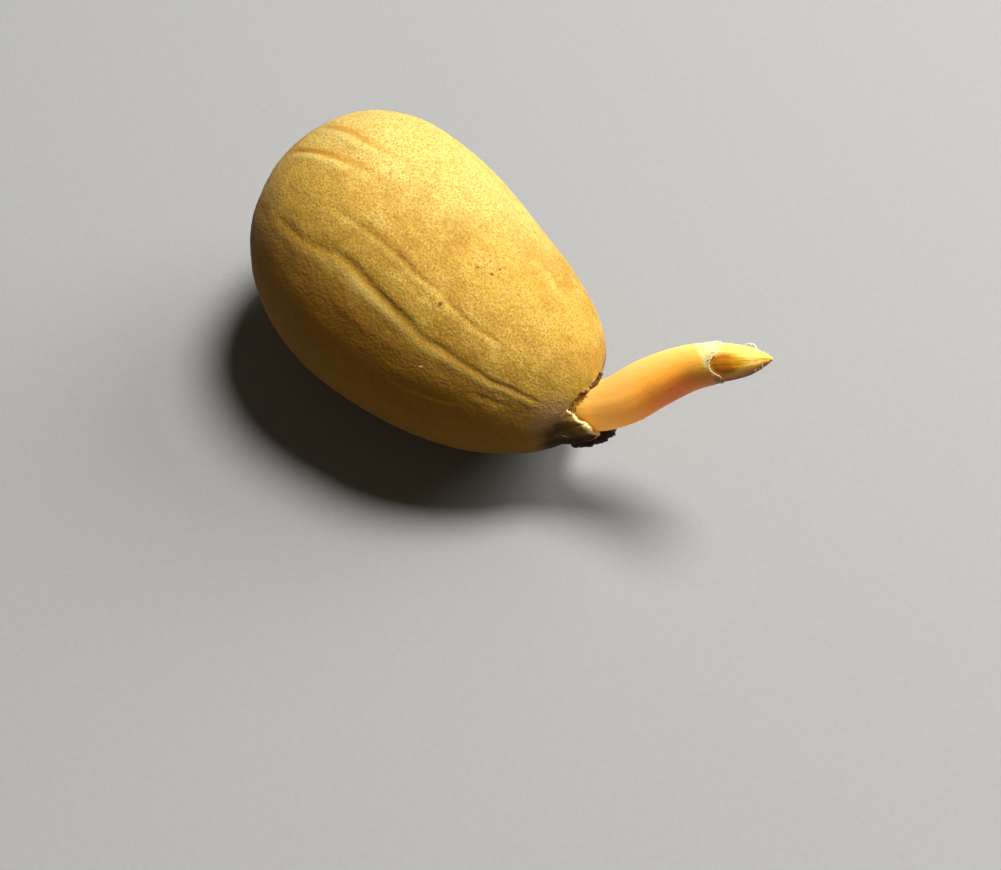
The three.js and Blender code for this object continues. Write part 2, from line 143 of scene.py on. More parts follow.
# How the torn rim is moved in each direction: towards the root's skin, towards the root and forward
RIM_SHIFT = [
    (0, 0.5, 0, 0), (20, 0.9, 0, 0), (55, 0.95, 0, 0), (78, 0.8, 0, -0.1), (90, 0, -0.1, -0.15),
    (105, 0, -0.18, -0.2), (130, 0, -0.22, -0.2), (150, 0, -0.2, -0.15), (165, 0, 0, 0), (250, 0, 0, 0),
    (300, 0, 0, 0), (335, 0.2, 0, 0),
]

# Middle line of the root, and the radius of the root and of the tip beyond the collar
ROOT_PATH = [
    (15.8, 1.2, 0.2), (18.2, 1.3, 0.3), (20.2, 1.65, 0.7), (21.7, 2.5, 1.9), (23.1, 3.8, 3.7),
    (24.5, 6.0, 6.2), (26.3, 8.1, 8.8), (28.2, 9.45, 10.9), (30.1, 10.45, 12.5), (32.65, 11.85, 14.7),
]
ROOT_RADII = [
    (0, 1.9), (3, 2.1), (5.5, 2.35), (8.5, 2.55), (11, 2.65), (14, 2.5), (17, 2.25), (COLLAR, 2.05),
]
TIP_RADII = [
    (0, 1.7), (0.9, 1.84), (2.2, 1.7), (3.9, 1.34), (4.8, 0.98), (5.6, 0.55), (6.1, 0.3),
]


# Curves and noise
def smooth_step(value, low, high):
    share = np.clip((value - low) / (high - low), 0, 1)
    return share * share * (3 - 2 * share)


def between(value, low, rising, falling, high):
    """1 from rising to falling, and 0 below low and above high."""
    return smooth_step(value, low, rising) * (1 - smooth_step(value, falling, high))


def length(vectors):
    return np.linalg.norm(vectors, axis=-1)


def unit(vectors):
    return vectors / np.maximum(length(vectors), 1e-9)[..., None]


def curve_through(rows, place):
    """Smooth curve through rows of (place, value, value, ...), read at many places."""
    rows = np.asarray(rows, float)
    at, values = rows[:, 0], rows[:, 1:]
    place = np.atleast_1d(np.asarray(place, float))
    k = np.clip(np.searchsorted(at, place, side="right") - 1, 0, len(at) - 2)
    before = np.maximum(k - 1, 0)
    after = np.minimum(k + 2, len(at) - 1)
    span = at[k + 1] - at[k]
    share = np.clip((place - at[k]) / span, 0, 1)[:, None]
    slope_a = (values[k + 1] - values[before]) * (span / (at[k + 1] - at[before]))[:, None]
    slope_b = (values[after] - values[k]) * (span / (at[after] - at[k]))[:, None]
    rise = values[k + 1] - values[k]
    bend = 3 * rise - 2 * slope_a - slope_b
    return values[k] + share * (slope_a + share * (bend + share * (slope_a + slope_b - 2 * rise)))


def curve_round(rows, degrees):
    """The same for a list of directions that closes on itself."""
    before = [(row[0] - 360, *row[1:]) for row in rows[-2:]]
    after = [(row[0] + 360, *row[1:]) for row in rows[:2]]
    return curve_through([*before, *rows, *after], degrees)


NOISE_CELLS = 32
NOISE = np.random.default_rng(11).uniform(-1, 1, (NOISE_CELLS,) * 3)


def lumps(points, size, shift=0.0):
    """Smooth random heights from -1 to 1 at points, with lumps of about one size."""
    place = np.asarray(points) / size + shift
    cell = np.floor(place).astype(int)
    share = place - cell
    share = share * share * (3 - 2 * share)
    total = 0
    for corner in np.ndindex(2, 2, 2):
        weight = np.prod(np.where(corner, share, 1 - share), axis=-1)
        spot = (cell + corner) % NOISE_CELLS
        total = total + weight * NOISE[spot[..., 0], spot[..., 1], spot[..., 2]]
    return total


def seeded_random(seed):
    state = seed
    while True:
        state = (state * 1664525 + 1013904223) % 4294967296
        yield state / 4294967296


def hidden_grooves():
    """The grooves that the photo doesn't show, from the same seeded numbers as in the CAD source."""
    draw = seeded_random(7)
    grooves = []
    for k in range(HIDDEN_GROOVES):
        start = -0.8 + 1.1 * next(draw)
        angle = -150 + 205 * (k + 0.6 * next(draw)) / HIDDEN_GROOVES
        end = min(start + 0.4 + 0.7 * next(draw), 0.85)
        depth = 0.1 + 0.14 * next(draw)
        rows = [(start, angle, 0, 0.4)]
        for share in (0.2, 0.5, 0.8):
            angle += 5 * (next(draw) - 0.5)
            rows.append((start + (end - start) * share, angle, depth, 0.4))
        grooves.append([*rows, (end, angle, 0, 0.4)])
    return grooves


HIDDEN = hidden_grooves()


# The seed's form
def raw_radius(u):
    power = np.where(u < 0, FAR_END_POWER, ROOT_END_POWER)
    return np.sqrt(np.maximum(0, 1 - np.abs(u) ** power)) * (1 - TAPER * u)


NEAR_MIDDLE = np.linspace(-0.5, 0.5, 2001)
WIDEST = NEAR_MIDDLE[np.argmax(raw_radius(NEAR_MIDDLE))]
WIDEST_RADIUS = raw_radius(WIDEST)


def seed_radius(u):
    return HALF_WIDTH * raw_radius(u) / WIDEST_RADIUS


ROOT_HALF = 1 - (1 - WIDEST) * np.linspace(0, 1, 6000) ** 2
ROOT_HALF_RADII = seed_radius(ROOT_HALF)


def place_of_radius(radius):
    return np.interp(radius, ROOT_HALF_RADII, ROOT_HALF)


def groove_marks(groove, u, angle, radius):
    """How deep, how far in the dip, how far on the ridge beside it and how far across a groove is."""
    row = curve_through(groove, np.ravel(u + 0 * angle)).reshape(*np.shape(u + 0 * angle), 3)
    inside = (u > groove[0][0]) & (u < groove[-1][0])
    turn = (angle - row[..., 0] * DEG + math.pi) % (2 * math.pi) - math.pi
    across = turn * radius / row[..., 2]
    return row[..., 1] * inside, np.exp(-across * across), np.exp(-((across - 2.2) ** 2) / 1.6), across


def relief(u, angle):
    """Height of the coat's form, with how deep in a groove, how high on a ridge and how orange it is."""
    radius = seed_radius(u)
    height = np.sin(2 * angle + 5 * u + 1) + np.sin(3 * angle - 4 * u) * np.cos(6 * u + angle)
    height = height * LUMP_HEIGHT * np.minimum(1, radius / 6)
    valley, crest, orange = 0 * height, 0 * height, 0 * height
    for groove in [*GROOVES, *ORANGE_GROOVES, *HIDDEN]:
        depth, dip, ridge, across = groove_marks(groove, u, angle, radius)
        height = height + depth * (GROOVE_RIDGE * ridge - dip)
        valley = valley + depth * dip / 0.3
        crest = crest + depth * ridge / 0.3
        # Orange on one side of the orange creases: partly their own tint, partly painted shade beside the
        # crease
        if groove in ORANGE_GROOVES:
            orange = orange + depth * np.exp(-((across + 0.9) ** 2) / 3) / 0.2
    return height, valley, crest, orange


def coat_place(radius, u, angle):
    bow = 1 / 3 - u * u
    y = radius * np.cos(angle) + SIDE_BOW * bow
    z = radius * np.sin(angle) * HEIGHT_TO_WIDTH + TOP_BOW * bow
    beside = ((y - PULL_SPOT[0]) ** 2 + (z - PULL_SPOT[1]) ** 2) / PULL_REACH**2
    x = HALF_LENGTH * u - PULL_BACK * np.exp(-beside) * (u > 0)
    return np.stack([x + 0 * y, y, z], axis=-1)


def coat_ring(u, angle):
    """Points of the coat and what its relief says there."""
    height, valley, crest, orange = relief(u, angle)
    return coat_place(seed_radius(u) + height, u, angle), valley, crest, orange


# Table
def turn_down(points):
    """From the seed's own frame to the way it lies."""
    c, s = math.cos(NOSE_DOWN), math.sin(NOSE_DOWN)
    points = np.asarray(points, float)
    x, y, z = points[..., 0], points[..., 1], points[..., 2]
    return np.stack([x * c + z * s, y, z * c - x * s], axis=-1)


def belly_points():
    u = np.arange(-0.3, 0.4, 0.002)
    return turn_down(coat_place(seed_radius(u), u, -math.pi / 2 + 0 * u))


BELLY = belly_points()
LOWEST = BELLY[np.argmin(BELLY[:, 2])]
FLOOR_LEVEL = LOWEST[2] + FLAT_DEPTH
FLOOR_NORMAL = np.array([-math.sin(NOSE_DOWN), 0, math.cos(NOSE_DOWN)])


def onto_table(points):
    """Lifts points that are below the table onto it."""
    depth = np.maximum(0, FLOOR_LEVEL - points @ FLOOR_NORMAL)
    return points + depth[..., None] * FLOOR_NORMAL


def in_row_frame(points):
    """From the seed's own frame in millimetres to the row frame in metres."""
    return (turn_down(points) - (LOWEST[0], LOWEST[1], FLOOR_LEVEL)) * MM


# The root's line
def centripetal_points(points, per_span):
    points = np.asarray(points, float)
    ends = (2 * points[0] - points[1], 2 * points[-1] - points[-2])
    points = np.vstack([ends[0], points, ends[1]])
    share = np.linspace(0, 1, per_span, endpoint=False)[:, None]
    made = []
    for p0, p1, p2, p3 in zip(points, points[1:], points[2:], points[3:]):
        t0, t1, t2 = (math.sqrt(np.linalg.norm(b - a)) for a, b in ((p0, p1), (p1, p2), (p2, p3)))
        slope_a = ((p1 - p0) / t0 - (p2 - p0) / (t0 + t1) + (p2 - p1) / t1) * t1
        slope_b = ((p2 - p1) / t1 - (p3 - p1) / (t1 + t2) + (p3 - p2) / t2) * t1
        bend = 3 * (p2 - p1) - 2 * slope_a - slope_b
        twist = 2 * (p1 - p2) + slope_a + slope_b
        made.append(p1 + share * (slope_a + share * (bend + share * twist)))
    return np.vstack([*made, points[-2:-1]])


PATH = centripetal_points(ROOT_PATH, 90)
PATH_PLACE = np.concatenate([[0], np.cumsum(length(np.diff(PATH, axis=0)))])
PATH_LENGTH = PATH_PLACE[-1]
PATH_TANGENT = unit(np.gradient(PATH, PATH_PLACE, axis=0))


def on_path(place, values):
    """Values given along the path, read at other places of it."""
    return np.stack([np.interp(place, PATH_PLACE, values[:, k]) for k in range(3)], axis=-1)


def path_point(place):
    return on_path(place, PATH) + np.minimum(place, 0)[..., None] * PATH_TANGENT[0]


def around_root(place, radius, angle):
    """Points round the root: angle 0 is to its left and 90 degrees on top."""
    place = np.asarray(place, float) + 0 * angle
    tangent = unit(on_path(place, PATH_TANGENT))
    side = unit(np.cross((0, 0, 1), tangent))
    top = np.cross(tangent, side)
    reach = (np.asarray(radius) + 0 * angle)[..., None]
    return path_point(place) + reach * (np.cos(angle)[..., None] * side + np.sin(angle)[..., None] * top)


def root_radius(place):
    return curve_through(ROOT_RADII, place)[:, 0]


PATH_SPOTS = np.linspace(0, PATH_LENGTH, 261)
PATH_SPOT_POINTS = path_point(PATH_SPOTS)


def from_path(points):
    """Nearest point of the root's middle line, the way and distance from it, and the root's radius."""
    k = length(points[:, None] - PATH_SPOT_POINTS).argmin(axis=1)
    near = PATH_SPOT_POINTS[k]
    return near, unit(points - near), length(points - near), root_radius(PATH_SPOTS[k])


def clear_of_root(points, clearance):
    near, way, away, radius = from_path(points)
    return near + way * np.maximum(away, radius + clearance)[:, None]


def towards_root(points, distance):
    return points - from_path(points)[1] * np.asarray(distance).reshape(-1, 1)


def at_distance(points, distance, share):
    """Moves points by a share of the way to a distance from the root's skin."""
    near, way, away, radius = from_path(points)
    return near + way * (away + (radius + distance - away) * share)[:, None]


def tear(angle):
    return 0.5 * np.sin(7 * angle + 1) + 0.35 * np.sin(12 * angle + 2.2) + 0.25 * np.sin(19 * angle + 0.4)


def fine_tear(angle):
    """Small ragged teeth of a torn plant skin."""
    teeth = np.sin(41 * angle + 0.7) + 0.8 * np.sin(67 * angle + 2 * np.sin(5 * angle))
    return 0.35 * teeth + 0.35 * np.sin(103 * angle + 3 * np.sin(9 * angle))


def scale_middle(rows, columns):
    """Middle surface of the inner scale, from its foot in the socket to its free edge."""
    degrees = np.linspace(SCALE_EDGE[0][0], SCALE_EDGE[-1][0], columns + 1)
    radius = root_radius([SCALE_FOOT])[0] + GAP + COAT_THICKNESS / 2
    foot = around_root(SCALE_FOOT, radius, degrees * DEG)
    edge = curve_through(SCALE_EDGE, degrees) + OPENING
    edge[:, 0] += FLAP_UNEVEN * tear(3 * degrees * DEG)
    shares = np.linspace(0, 1, rows + 1)
    return [clear_of_root(foot + (edge - foot) * share, GAP + COAT_THICKNESS / 2) for share in shares]


SCALE_SPOTS = np.vstack(scale_middle(8, 24))
CLEARING_STEP = 0.05


def clear_of_all(points, clearance):
    """Moves points outwards until the root and the scale both have their clearance."""
    moved = clear_of_root(points, clearance)
    outwards = towards_root(moved, -CLEARING_STEP) - moved
    needed = clearance + COAT_THICKNESS / 2 + CLEARING_STEP
    for _ in range(200):
        close = length(moved[:, None] - SCALE_SPOTS).min(axis=1) < needed
        if not close.any():
            break
        moved[close] += outwards[close]
    return moved


# Meshes
def ring_faces(rings, count, first=0):
    """Faces between closed rings of points, of which the first starts at one number."""
    a = np.arange(count)
    b = (a + 1) % count
    start = first + count * np.arange(rings - 1)[:, None]
    quads = np.stack([start + a, start + b, start + count + b, start + count + a], axis=-1)
    return quads.reshape(-1, 4).tolist()


def closed_blade(back, front):
    """Points and faces of a thin blade between two equal grids of points."""
    rows, columns = back.shape[:2]
    count = 2 * columns
    faces = ring_faces(rows, count)
    for k in range(columns - 1):
        low, end = count - 1 - k, (rows - 1) * count
        faces.append((k, low, low - 1, k + 1))
        faces.append((end + k, end + k + 1, end + low - 1, end + low))
    return np.concatenate([front, back[:, ::-1]], axis=1).reshape(-1, 3), faces


def add_object(name, data):
    thing = bpy.data.objects.new(name, data)
    bpy.context.scene.collection.objects.link(thing)
    return thing


def make_piece(name, points, faces, edges=(), **marks):
    """A piece from points in the seed's own frame, with its marks as attributes."""
    mesh = bpy.data.meshes.new(name)
    mesh.from_pydata(in_row_frame(points).tolist(), edges, faces)
    mesh.validate()
    mesh.shade_smooth()
    for key, values in marks.items():
        kind, part = ("FLOAT", "value") if values.ndim == 1 else ("FLOAT_VECTOR", "vector")
        attribute = mesh.attributes.new(key, kind, "POINT")
        attribute.data.foreach_set(part, values.astype(np.float32).ravel())
    return add_object(name, mesh)


def with_poles(values):
    """What rings of points say, one after another, repeated for the point at each end."""
    values = np.asarray(values)
    return np.concatenate([values[0][:1], values.reshape(-1, *values.shape[2:]), values[-1][:1]])


def make_skin(name, rings, first, last, **marks):
    """A piece whose skin runs through equal rings and is closed by one point at each end."""
    count = len(rings[0])
    end = 1 + count * len(rings)
    faces = ring_faces(len(rings), count, 1)
    for a in range(count):
        b = (a + 1) % count
        faces.append((0, 1 + b, 1 + a))
        faces.append((end, end - count + a, end - count + b))
    marks = {key: with_poles(values) for key, values in marks.items()}
    return make_piece(name, np.vstack([first, *rings, last]), faces, **marks)


def finish_piece(piece, material, slot, *nodes):
    if material.name not in piece.data.materials:
        piece.data.materials.append(material)
    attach(piece, "root")
    if nodes:
        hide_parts(*nodes)
    return piece


# Seed coat
COAT_SECTORS = 320
BODY_RINGS = 188
END_RINGS = 58
LIP_RINGS = 20
EDGE_RINGS = 3
INNER_RINGS = 12
BODY_END = 120 * DEG
FINE_SIDE = 125 * DEG
FINE_SHARE = 0.3
EDGE_WALL = 0.24
FLAP_WALL = 0.3
EDGE_RAGGED = 0.07
FLAP_RAGGED = 0.05
CROWN_HEIGHT = 0.06
LIP_WAVE = 0.05
BEHIND_EDGE = 0.06

# Small relief of the coat: height, size and shift of each layer of folds and lumps
FOLD_STRETCH = (0.22, 1, 1)
FOLDS = [(0.05, 1.9, 0), (0.022, 0.8, 5)]
LUMPS = [(0.045, 3.1, 9), (0.02, 1.1, 3), (0.01, 0.45, 7)]


def coat_directions():
    """Directions round the seed, closer together on the side that shows most."""
    even = np.linspace(0, 2 * math.pi, COAT_SECTORS, endpoint=False)
    turned = even - FINE_SHARE * (np.sin(even - FINE_SIDE) + math.sin(FINE_SIDE))
    return turned % (2 * math.pi)


def fine_relief(points):
    """Small folds and lumps that the coat has all over."""
    folds = sum(height * lumps(points * FOLD_STRETCH, size, shift) for height, size, shift in FOLDS)
    return folds + sum(height * lumps(points, size, shift) for height, size, shift in LUMPS)


def grid_normals(grid):
    """Outward directions on a grid of rings."""
    along = np.gradient(grid, axis=0)
    padded = np.concatenate([grid[:, -1:], grid, grid[:, :1]], axis=1)
    around = padded[:, 2:] - padded[:, :-2]
    return unit(np.cross(around, along))


def tear_reach(angles):
    """How far the tear line is from the opening in each direction."""
    return curve_round(TEAR_LINE, angles / DEG)[:, 0]


def end_spot(y, z):
    """Place along and angle round the seed of a point of its root end."""
    return place_of_radius(np.hypot(y, z)), np.arctan2(z, y) % (2 * math.pi)


def coat_outside(angles):
    """Rings from the far pole to the tear line, with the attributes of each point."""
    body = -np.cos(BODY_END * np.arange(1, BODY_RINGS + 1) / BODY_RINGS)[:, None] + 0 * angles
    toward = np.stack([np.cos(angles), np.sin(angles)], axis=-1)
    start = toward * seed_radius(-math.cos(BODY_END))
    share = np.arange(1, END_RINGS + 1)[:, None, None] / END_RINGS
    share = 0.5 * (share + share * share)
    torn_spot = toward * tear_reach(angles)[:, None] + OPENING_OFFSET
    u, turn = end_spot(*np.moveaxis(start + (torn_spot - start) * share, -1, 0))
    grid, *marks = coat_ring(np.vstack([body, u]), np.vstack([angles + 0 * body, turn]))
    calm = 1 - 0.6 * smooth_step(np.arange(len(grid)), len(grid) - 14, len(grid))[:, None]
    return grid + (fine_relief(grid) * calm)[..., None] * grid_normals(grid), marks


def coat_edge(angles):
    """Torn edge of the coat in each direction from the opening."""
    degrees = angles / DEG
    toward = np.stack([np.cos(angles), np.sin(angles)])
    rim, *_ = coat_ring(*end_spot(*(OPENING_OFFSET[:, None] + tear_reach(angles) * toward)))
    rim += (OPENING - rim) * (LIP_INWARD * (1 + 0.4 * tear(angles)))[:, None]
    rim[:, 0] += LIP_LIFT + LIP_UNEVEN * tear(angles + 2)
    share = between(degrees, 140, 156, 224, 236)
    flap = curve_through(FLAP_EDGE, degrees) + OPENING
    flap[:, 1] += FLAP_UNEVEN * tear(2 * angles)
    rim += (flap - rim) * share[:, None]
    closed, towards, forward = curve_round(RIM_SHIFT, degrees).T
    rim[:, 0] += forward
    flapped = degrees < LAST_FLAP_DIRECTION
    rim[flapped] = clear_of_all(rim[flapped], EDGE_CLEARANCE)
    rim = towards_root(clear_of_root(rim, EDGE_CLEARANCE), towards)
    return at_distance(rim, CLOSED_GAP * (1 + tear(angles)), closed), share


def lip_rings(outside, edge, heading, reach, broad_edge):
    """Rings from the tear line to the torn edge, and how much torn flesh they show."""
    leaving = unit(outside[-1] - outside[-4])
    rings, torn = [], []
    for k in range(1, LIP_RINGS + 1):
        share = 1 - (1 - k / LIP_RINGS) ** 1.3
        straight = outside[-1] + (edge - outside[-1]) * share
        eased = straight + leaving * reach * 0.5 * share * (1 - share) ** 2
        lip = towards_root(eased, -FLAP_BULGE * reach * share * (1 - share))
        lip = lip + LIP_WAVE * (lumps(lip, 0.7, 2) * share * (1 - share) * 4)[:, None] * heading
        rings.append(lip)
        torn.append(1 - smooth_step(length(lip - edge), 0.02 + 0.1 * broad_edge, 0.22 + 0.33 * broad_edge))
    return rings, torn


def edge_rings(edge, inner_edge, heading, angles):
    """Rings over the ragged crown of the torn edge."""
    rings = []
    for share in np.arange(1, EDGE_RINGS) / EDGE_RINGS:
        crown = CROWN_HEIGHT * math.sin(math.pi * share) * (1 + fine_tear(angles + share))
        rings.append(edge + (inner_edge - edge) * share + heading * crown[:, None])
    return rings


def inner_rings(inner_edge, angles):
    """Rings down the inside of the coat into its socket, and how much torn flesh they show."""
    way = clear_of_all(around_root(SOCKET_MOUTH, 0.1, angles), GAP) - inner_edge
    rings, torn = [], []
    for k in range(INNER_RINGS + 1):
        share = (k / INNER_RINGS) ** 1.2
        ring = inner_edge + way * share
        rings.append(clear_of_all(ring, GAP) if k > 3 else clear_of_root(ring, BEHIND_EDGE + 0.08 * k))
        torn.append(1 - smooth_step(length(way) * share, 0, 0.3))
    for place in (SCALE_FOOT - 0.2, SCALE_FOOT - 0.9, 0.3):
        rings.append(clear_of_all(around_root(place, root_radius([place])[0] + GAP, angles), GAP))
    rings.append(around_root(-GAP, root_radius([0])[0], angles))
    return rings, [*torn, *np.zeros((4, len(angles)))]


def make_coat(material):
    angles = coat_directions()
    degrees = angles / DEG
    outside, marks = coat_outside(angles)
    edge, flap_share = coat_edge(angles)
    reach = length(edge - outside[-1])[:, None]
    heading = (edge - outside[-1]) / reach
    ragged = fine_tear(angles)[:, None] * (EDGE_RAGGED + FLAP_RAGGED * flap_share[:, None])
    edge = clear_of_root(edge + heading * ragged, CLOSED_GAP)
    broad_edge = smooth_step(degrees, 165, 195) * flap_share
    inner_edge = clear_of_root(towards_root(edge, EDGE_WALL + FLAP_WALL * broad_edge), BEHIND_EDGE)
    lip, lip_torn = lip_rings(outside, edge, heading, reach, broad_edge)
    crown = edge_rings(edge, inner_edge, heading, angles)
    inner, inner_torn = inner_rings(inner_edge, angles)
    rings = [*onto_table(np.array([*outside, *lip])), *crown, *inner]
    whole = np.zeros((len(outside), len(angles)))
    torn = np.array([*whole, *lip_torn, *np.ones((len(crown), len(angles))), *inner_torn])
    inside = 0 * torn
    inside[-len(inner):] = 1
    # Mask for the lip under the opening: partly the inner layer's maroon, partly painted shade
    under = between(degrees, 197, 208, 300, 320) * (1 - torn * (1 - smooth_step(degrees, 211, 219)))
    under = under * smooth_step(np.arange(len(rings)), len(outside) - 13, len(outside) - 4)[:, None]
    beyond = np.zeros((len(rings) - len(outside), len(angles)))
    valley, crest, orange = (np.vstack([mark, beyond]) for mark in marks)
    piece = make_skin(
        "seed_coat_skin", rings, coat_place(seed_radius(-1.0), -1.0, 0.0), path_point(-GAP - 0.05),
        valley=valley, crest=crest, orange=orange, torn=torn, inside=inside, under=under,
        flap=flap_share + 0 * torn, scrap=between(degrees, 0, 20, 84, 90) + 0 * torn,
        strand=strand_of(angles, 0.2 * np.arange(1, len(rings) + 1)[:, None], 14, 1),
    )
    return finish_piece(piece, material, "seed_coat", "seed_coat")


# Inner scale
SCALE_ROWS = 64
SCALE_COLUMNS = 190
SCALE_THICKNESS = 0.26
SCALE_RAGGED = 0.06
CRUMPLE = 0.09
FINE_CRUMPLE = 0.045
SCALE_CURL = 0.16


def make_scale(material):
    middle = np.array(scale_middle(SCALE_ROWS, SCALE_COLUMNS))
    down = np.linspace(0, 1, SCALE_ROWS + 1)[:, None]
    across = np.linspace(0, 1, SCALE_COLUMNS + 1)[None]
    ragged = fine_tear(across * 2.4 + 1)[..., None]
    ragged = ragged * smooth_step(down, 0.7, 1)[..., None]
    middle = middle + unit(middle[-1] - middle[-9]) * SCALE_RAGGED * ragged
    out = grid_normals(middle[:, ::-1])[:, ::-1]
    away = from_path(middle.reshape(-1, 3))[1].reshape(middle.shape)
    out *= np.sign((out * away).sum(-1))[..., None]
    ends = smooth_step(across, 0, 0.05) * smooth_step(1 - across, 0, 0.05)
    crumple = CRUMPLE * lumps(middle, 1.3, 4) + FINE_CRUMPLE * lumps(middle * (0.5, 1, 1), 0.5, 8)
    middle = middle + out * (crumple * smooth_step(down, 0.2, 0.6))[..., None]
    curl = SCALE_CURL * smooth_step(down, 0.86, 1.0) * (1 + 0.8 * lumps(middle, 0.9, 1))
    middle = middle + out * curl[..., None]
    half = SCALE_THICKNESS / 2 * (0.35 + 0.65 * ends * smooth_step(1 - down, 0, 0.06))
    points, faces = closed_blade(middle + out * half[..., None], middle - out * half[..., None])
    rim = smooth_step(down, 0.93, 1) + 0 * np.tile(across, 2)
    piece = make_piece("inner_scale_skin", points, faces, rim=rim.ravel())
    return finish_piece(piece, material, "inner_scale", "inner_scale")


# Root
ROOT_SECTORS = 144
ROOT_RINGS = 300
SHEATH_WALL = 0.08
ROOT_GIRTH = 3.2
ROOT_FOLD = 0.03
ROOT_STREAK = 0.022
PINCH_DEPTH = 0.05
FLARE = 0.025
LENGTHWISE = 0.14
LIT_TURN = -30 * DEG
SHEATH_RADII = ROOT_RADII + [(COLLAR + 0.9, 1.98), (COLLAR + 1.9, 1.9), (COLLAR + 3, 1.7)]

# Torn end of the sheath and the line where it pales, beyond the collar: direction, distance
SHEATH_END = [
    (0, 0.8), (40, 0.7), (66, 0.85), (84, 1.25), (102, 1.4), (114, 1.05), (128, 0.75), (148, 0.8),
    (160, 1.2), (170, 1.55), (184, 1.7), (205, 1.25), (235, 0.8), (270, 1.0), (305, 0.65), (335, 0.95),
]
PALE_START = [
    (0, -0.7), (30, -0.85), (58, -0.8), (88, -0.1), (112, 0.3), (132, 0.5), (154, 0.6), (170, 0.9),
    (200, 0.7), (240, 0.2), (280, 0.0), (320, -0.4),
]


def round_angles(count):
    return np.linspace(0, 2 * math.pi, count, endpoint=False)


def strand_of(angles, places, girth, stretch):
    """Coordinates for streaks that run lengthwise: fine round the piece and long along it."""
    spread = np.stack([girth * np.cos(angles) + 0 * places, girth * np.sin(angles) + 0 * places], -1)
    return np.concatenate([spread, (stretch * places + 0 * angles)[..., None]], axis=-1)


def make_root(material):
    angles = round_angles(ROOT_SECTORS)
    end = curve_round(SHEATH_END, angles / DEG)[:, 0] + 0.09 * fine_tear(angles)
    pale = curve_round(PALE_START, angles / DEG)[:, 0]
    base = np.linspace(0.3, COLLAR, ROOT_RINGS)[:, None]
    places = base + end * smooth_step(base, COLLAR - 3.2, COLLAR)
    radius = curve_through(SHEATH_RADII, places.ravel()).reshape(places.shape)
    strand = strand_of(angles, places, ROOT_GIRTH, LENGTHWISE)
    folds = ROOT_STREAK * lumps(strand, 0.75) + ROOT_FOLD * lumps(strand * (1, 1, 3), 2.2, 6)
    pinch = -PINCH_DEPTH * np.exp(-(((places - COLLAR - pale) / 0.35) ** 2))
    left = COLLAR + end - places
    flare = FLARE * np.exp(-left / 0.3) * (1 + 0.9 * lumps(strand, 0.9, 3))
    radius = radius + folds * smooth_step(left, 0, 1.2) + pinch + flare
    grid = around_root(places, radius, angles)
    rings = [around_root(0.0, 1.2, angles), around_root(0.12, 1.6, angles), *grid]
    inner_end = COLLAR + end - 0.02
    for back, wall in ((0.0, 0.03), (0.02, SHEATH_WALL), (0.35, SHEATH_WALL + 0.05), (1.0, 0.24)):
        rings.append(around_root(inner_end - back, radius[-1] - wall, angles))
    rings.append(around_root(COLLAR - 1.6, 1.7, angles))
    rings.append(around_root(COLLAR - 1.7, 1.0, angles))
    every_place = np.vstack([[0 * angles] * 2, places, [places[-1]] * 6])
    inner = 0 * every_place
    inner[-5:] = 1
    # The attribute turned by LIT_TURN tells how far each side faces the light; the paint uses it for painted
    # highlight and shade
    piece = make_skin(
        "root_skin", rings, path_point(-0.02), path_point(COLLAR - 1.72),
        along=every_place, upward=np.sin(angles - LIT_TURN) + 0 * every_place, inner=inner,
        paled=smooth_step(every_place - COLLAR - pale, -0.6, 0.3),
        torn=np.exp(-np.abs(COLLAR + end - every_place) / 0.16),
        strand=strand_of(angles, every_place, ROOT_GIRTH, LENGTHWISE),
    )
    return finish_piece(piece, material, "root_skin", "root")


# Tip
TIP_SECTORS = 144
TIP_RINGS = 210
PATCH_MIDDLE = (2.5, 136 * DEG)
PATCH_HALF = (1.95, 36 * DEG)
PATCH_DEPTH = 0.05
PATCH_RIM = 0.012
TIP_GIRTH = 2.6
TIP_STREAK = 0.028
TIP_FOLD = 0.02
TIP_RAGGED = 0.05
HIDDEN_FOOT = 1.1
BLUNT = 0.35


def patch_distance(beyond, angles):
    """0 in the middle of the amber patch and 1 at its edge."""
    turn = (angles - PATCH_MIDDLE[1] + math.pi) % (2 * math.pi) - math.pi
    forward = (beyond - PATCH_MIDDLE[0]) / PATCH_HALF[0]
    narrowed = PATCH_HALF[1] * (1 - 0.25 * np.clip(forward, -1, 1))
    return np.hypot(forward, turn / narrowed)


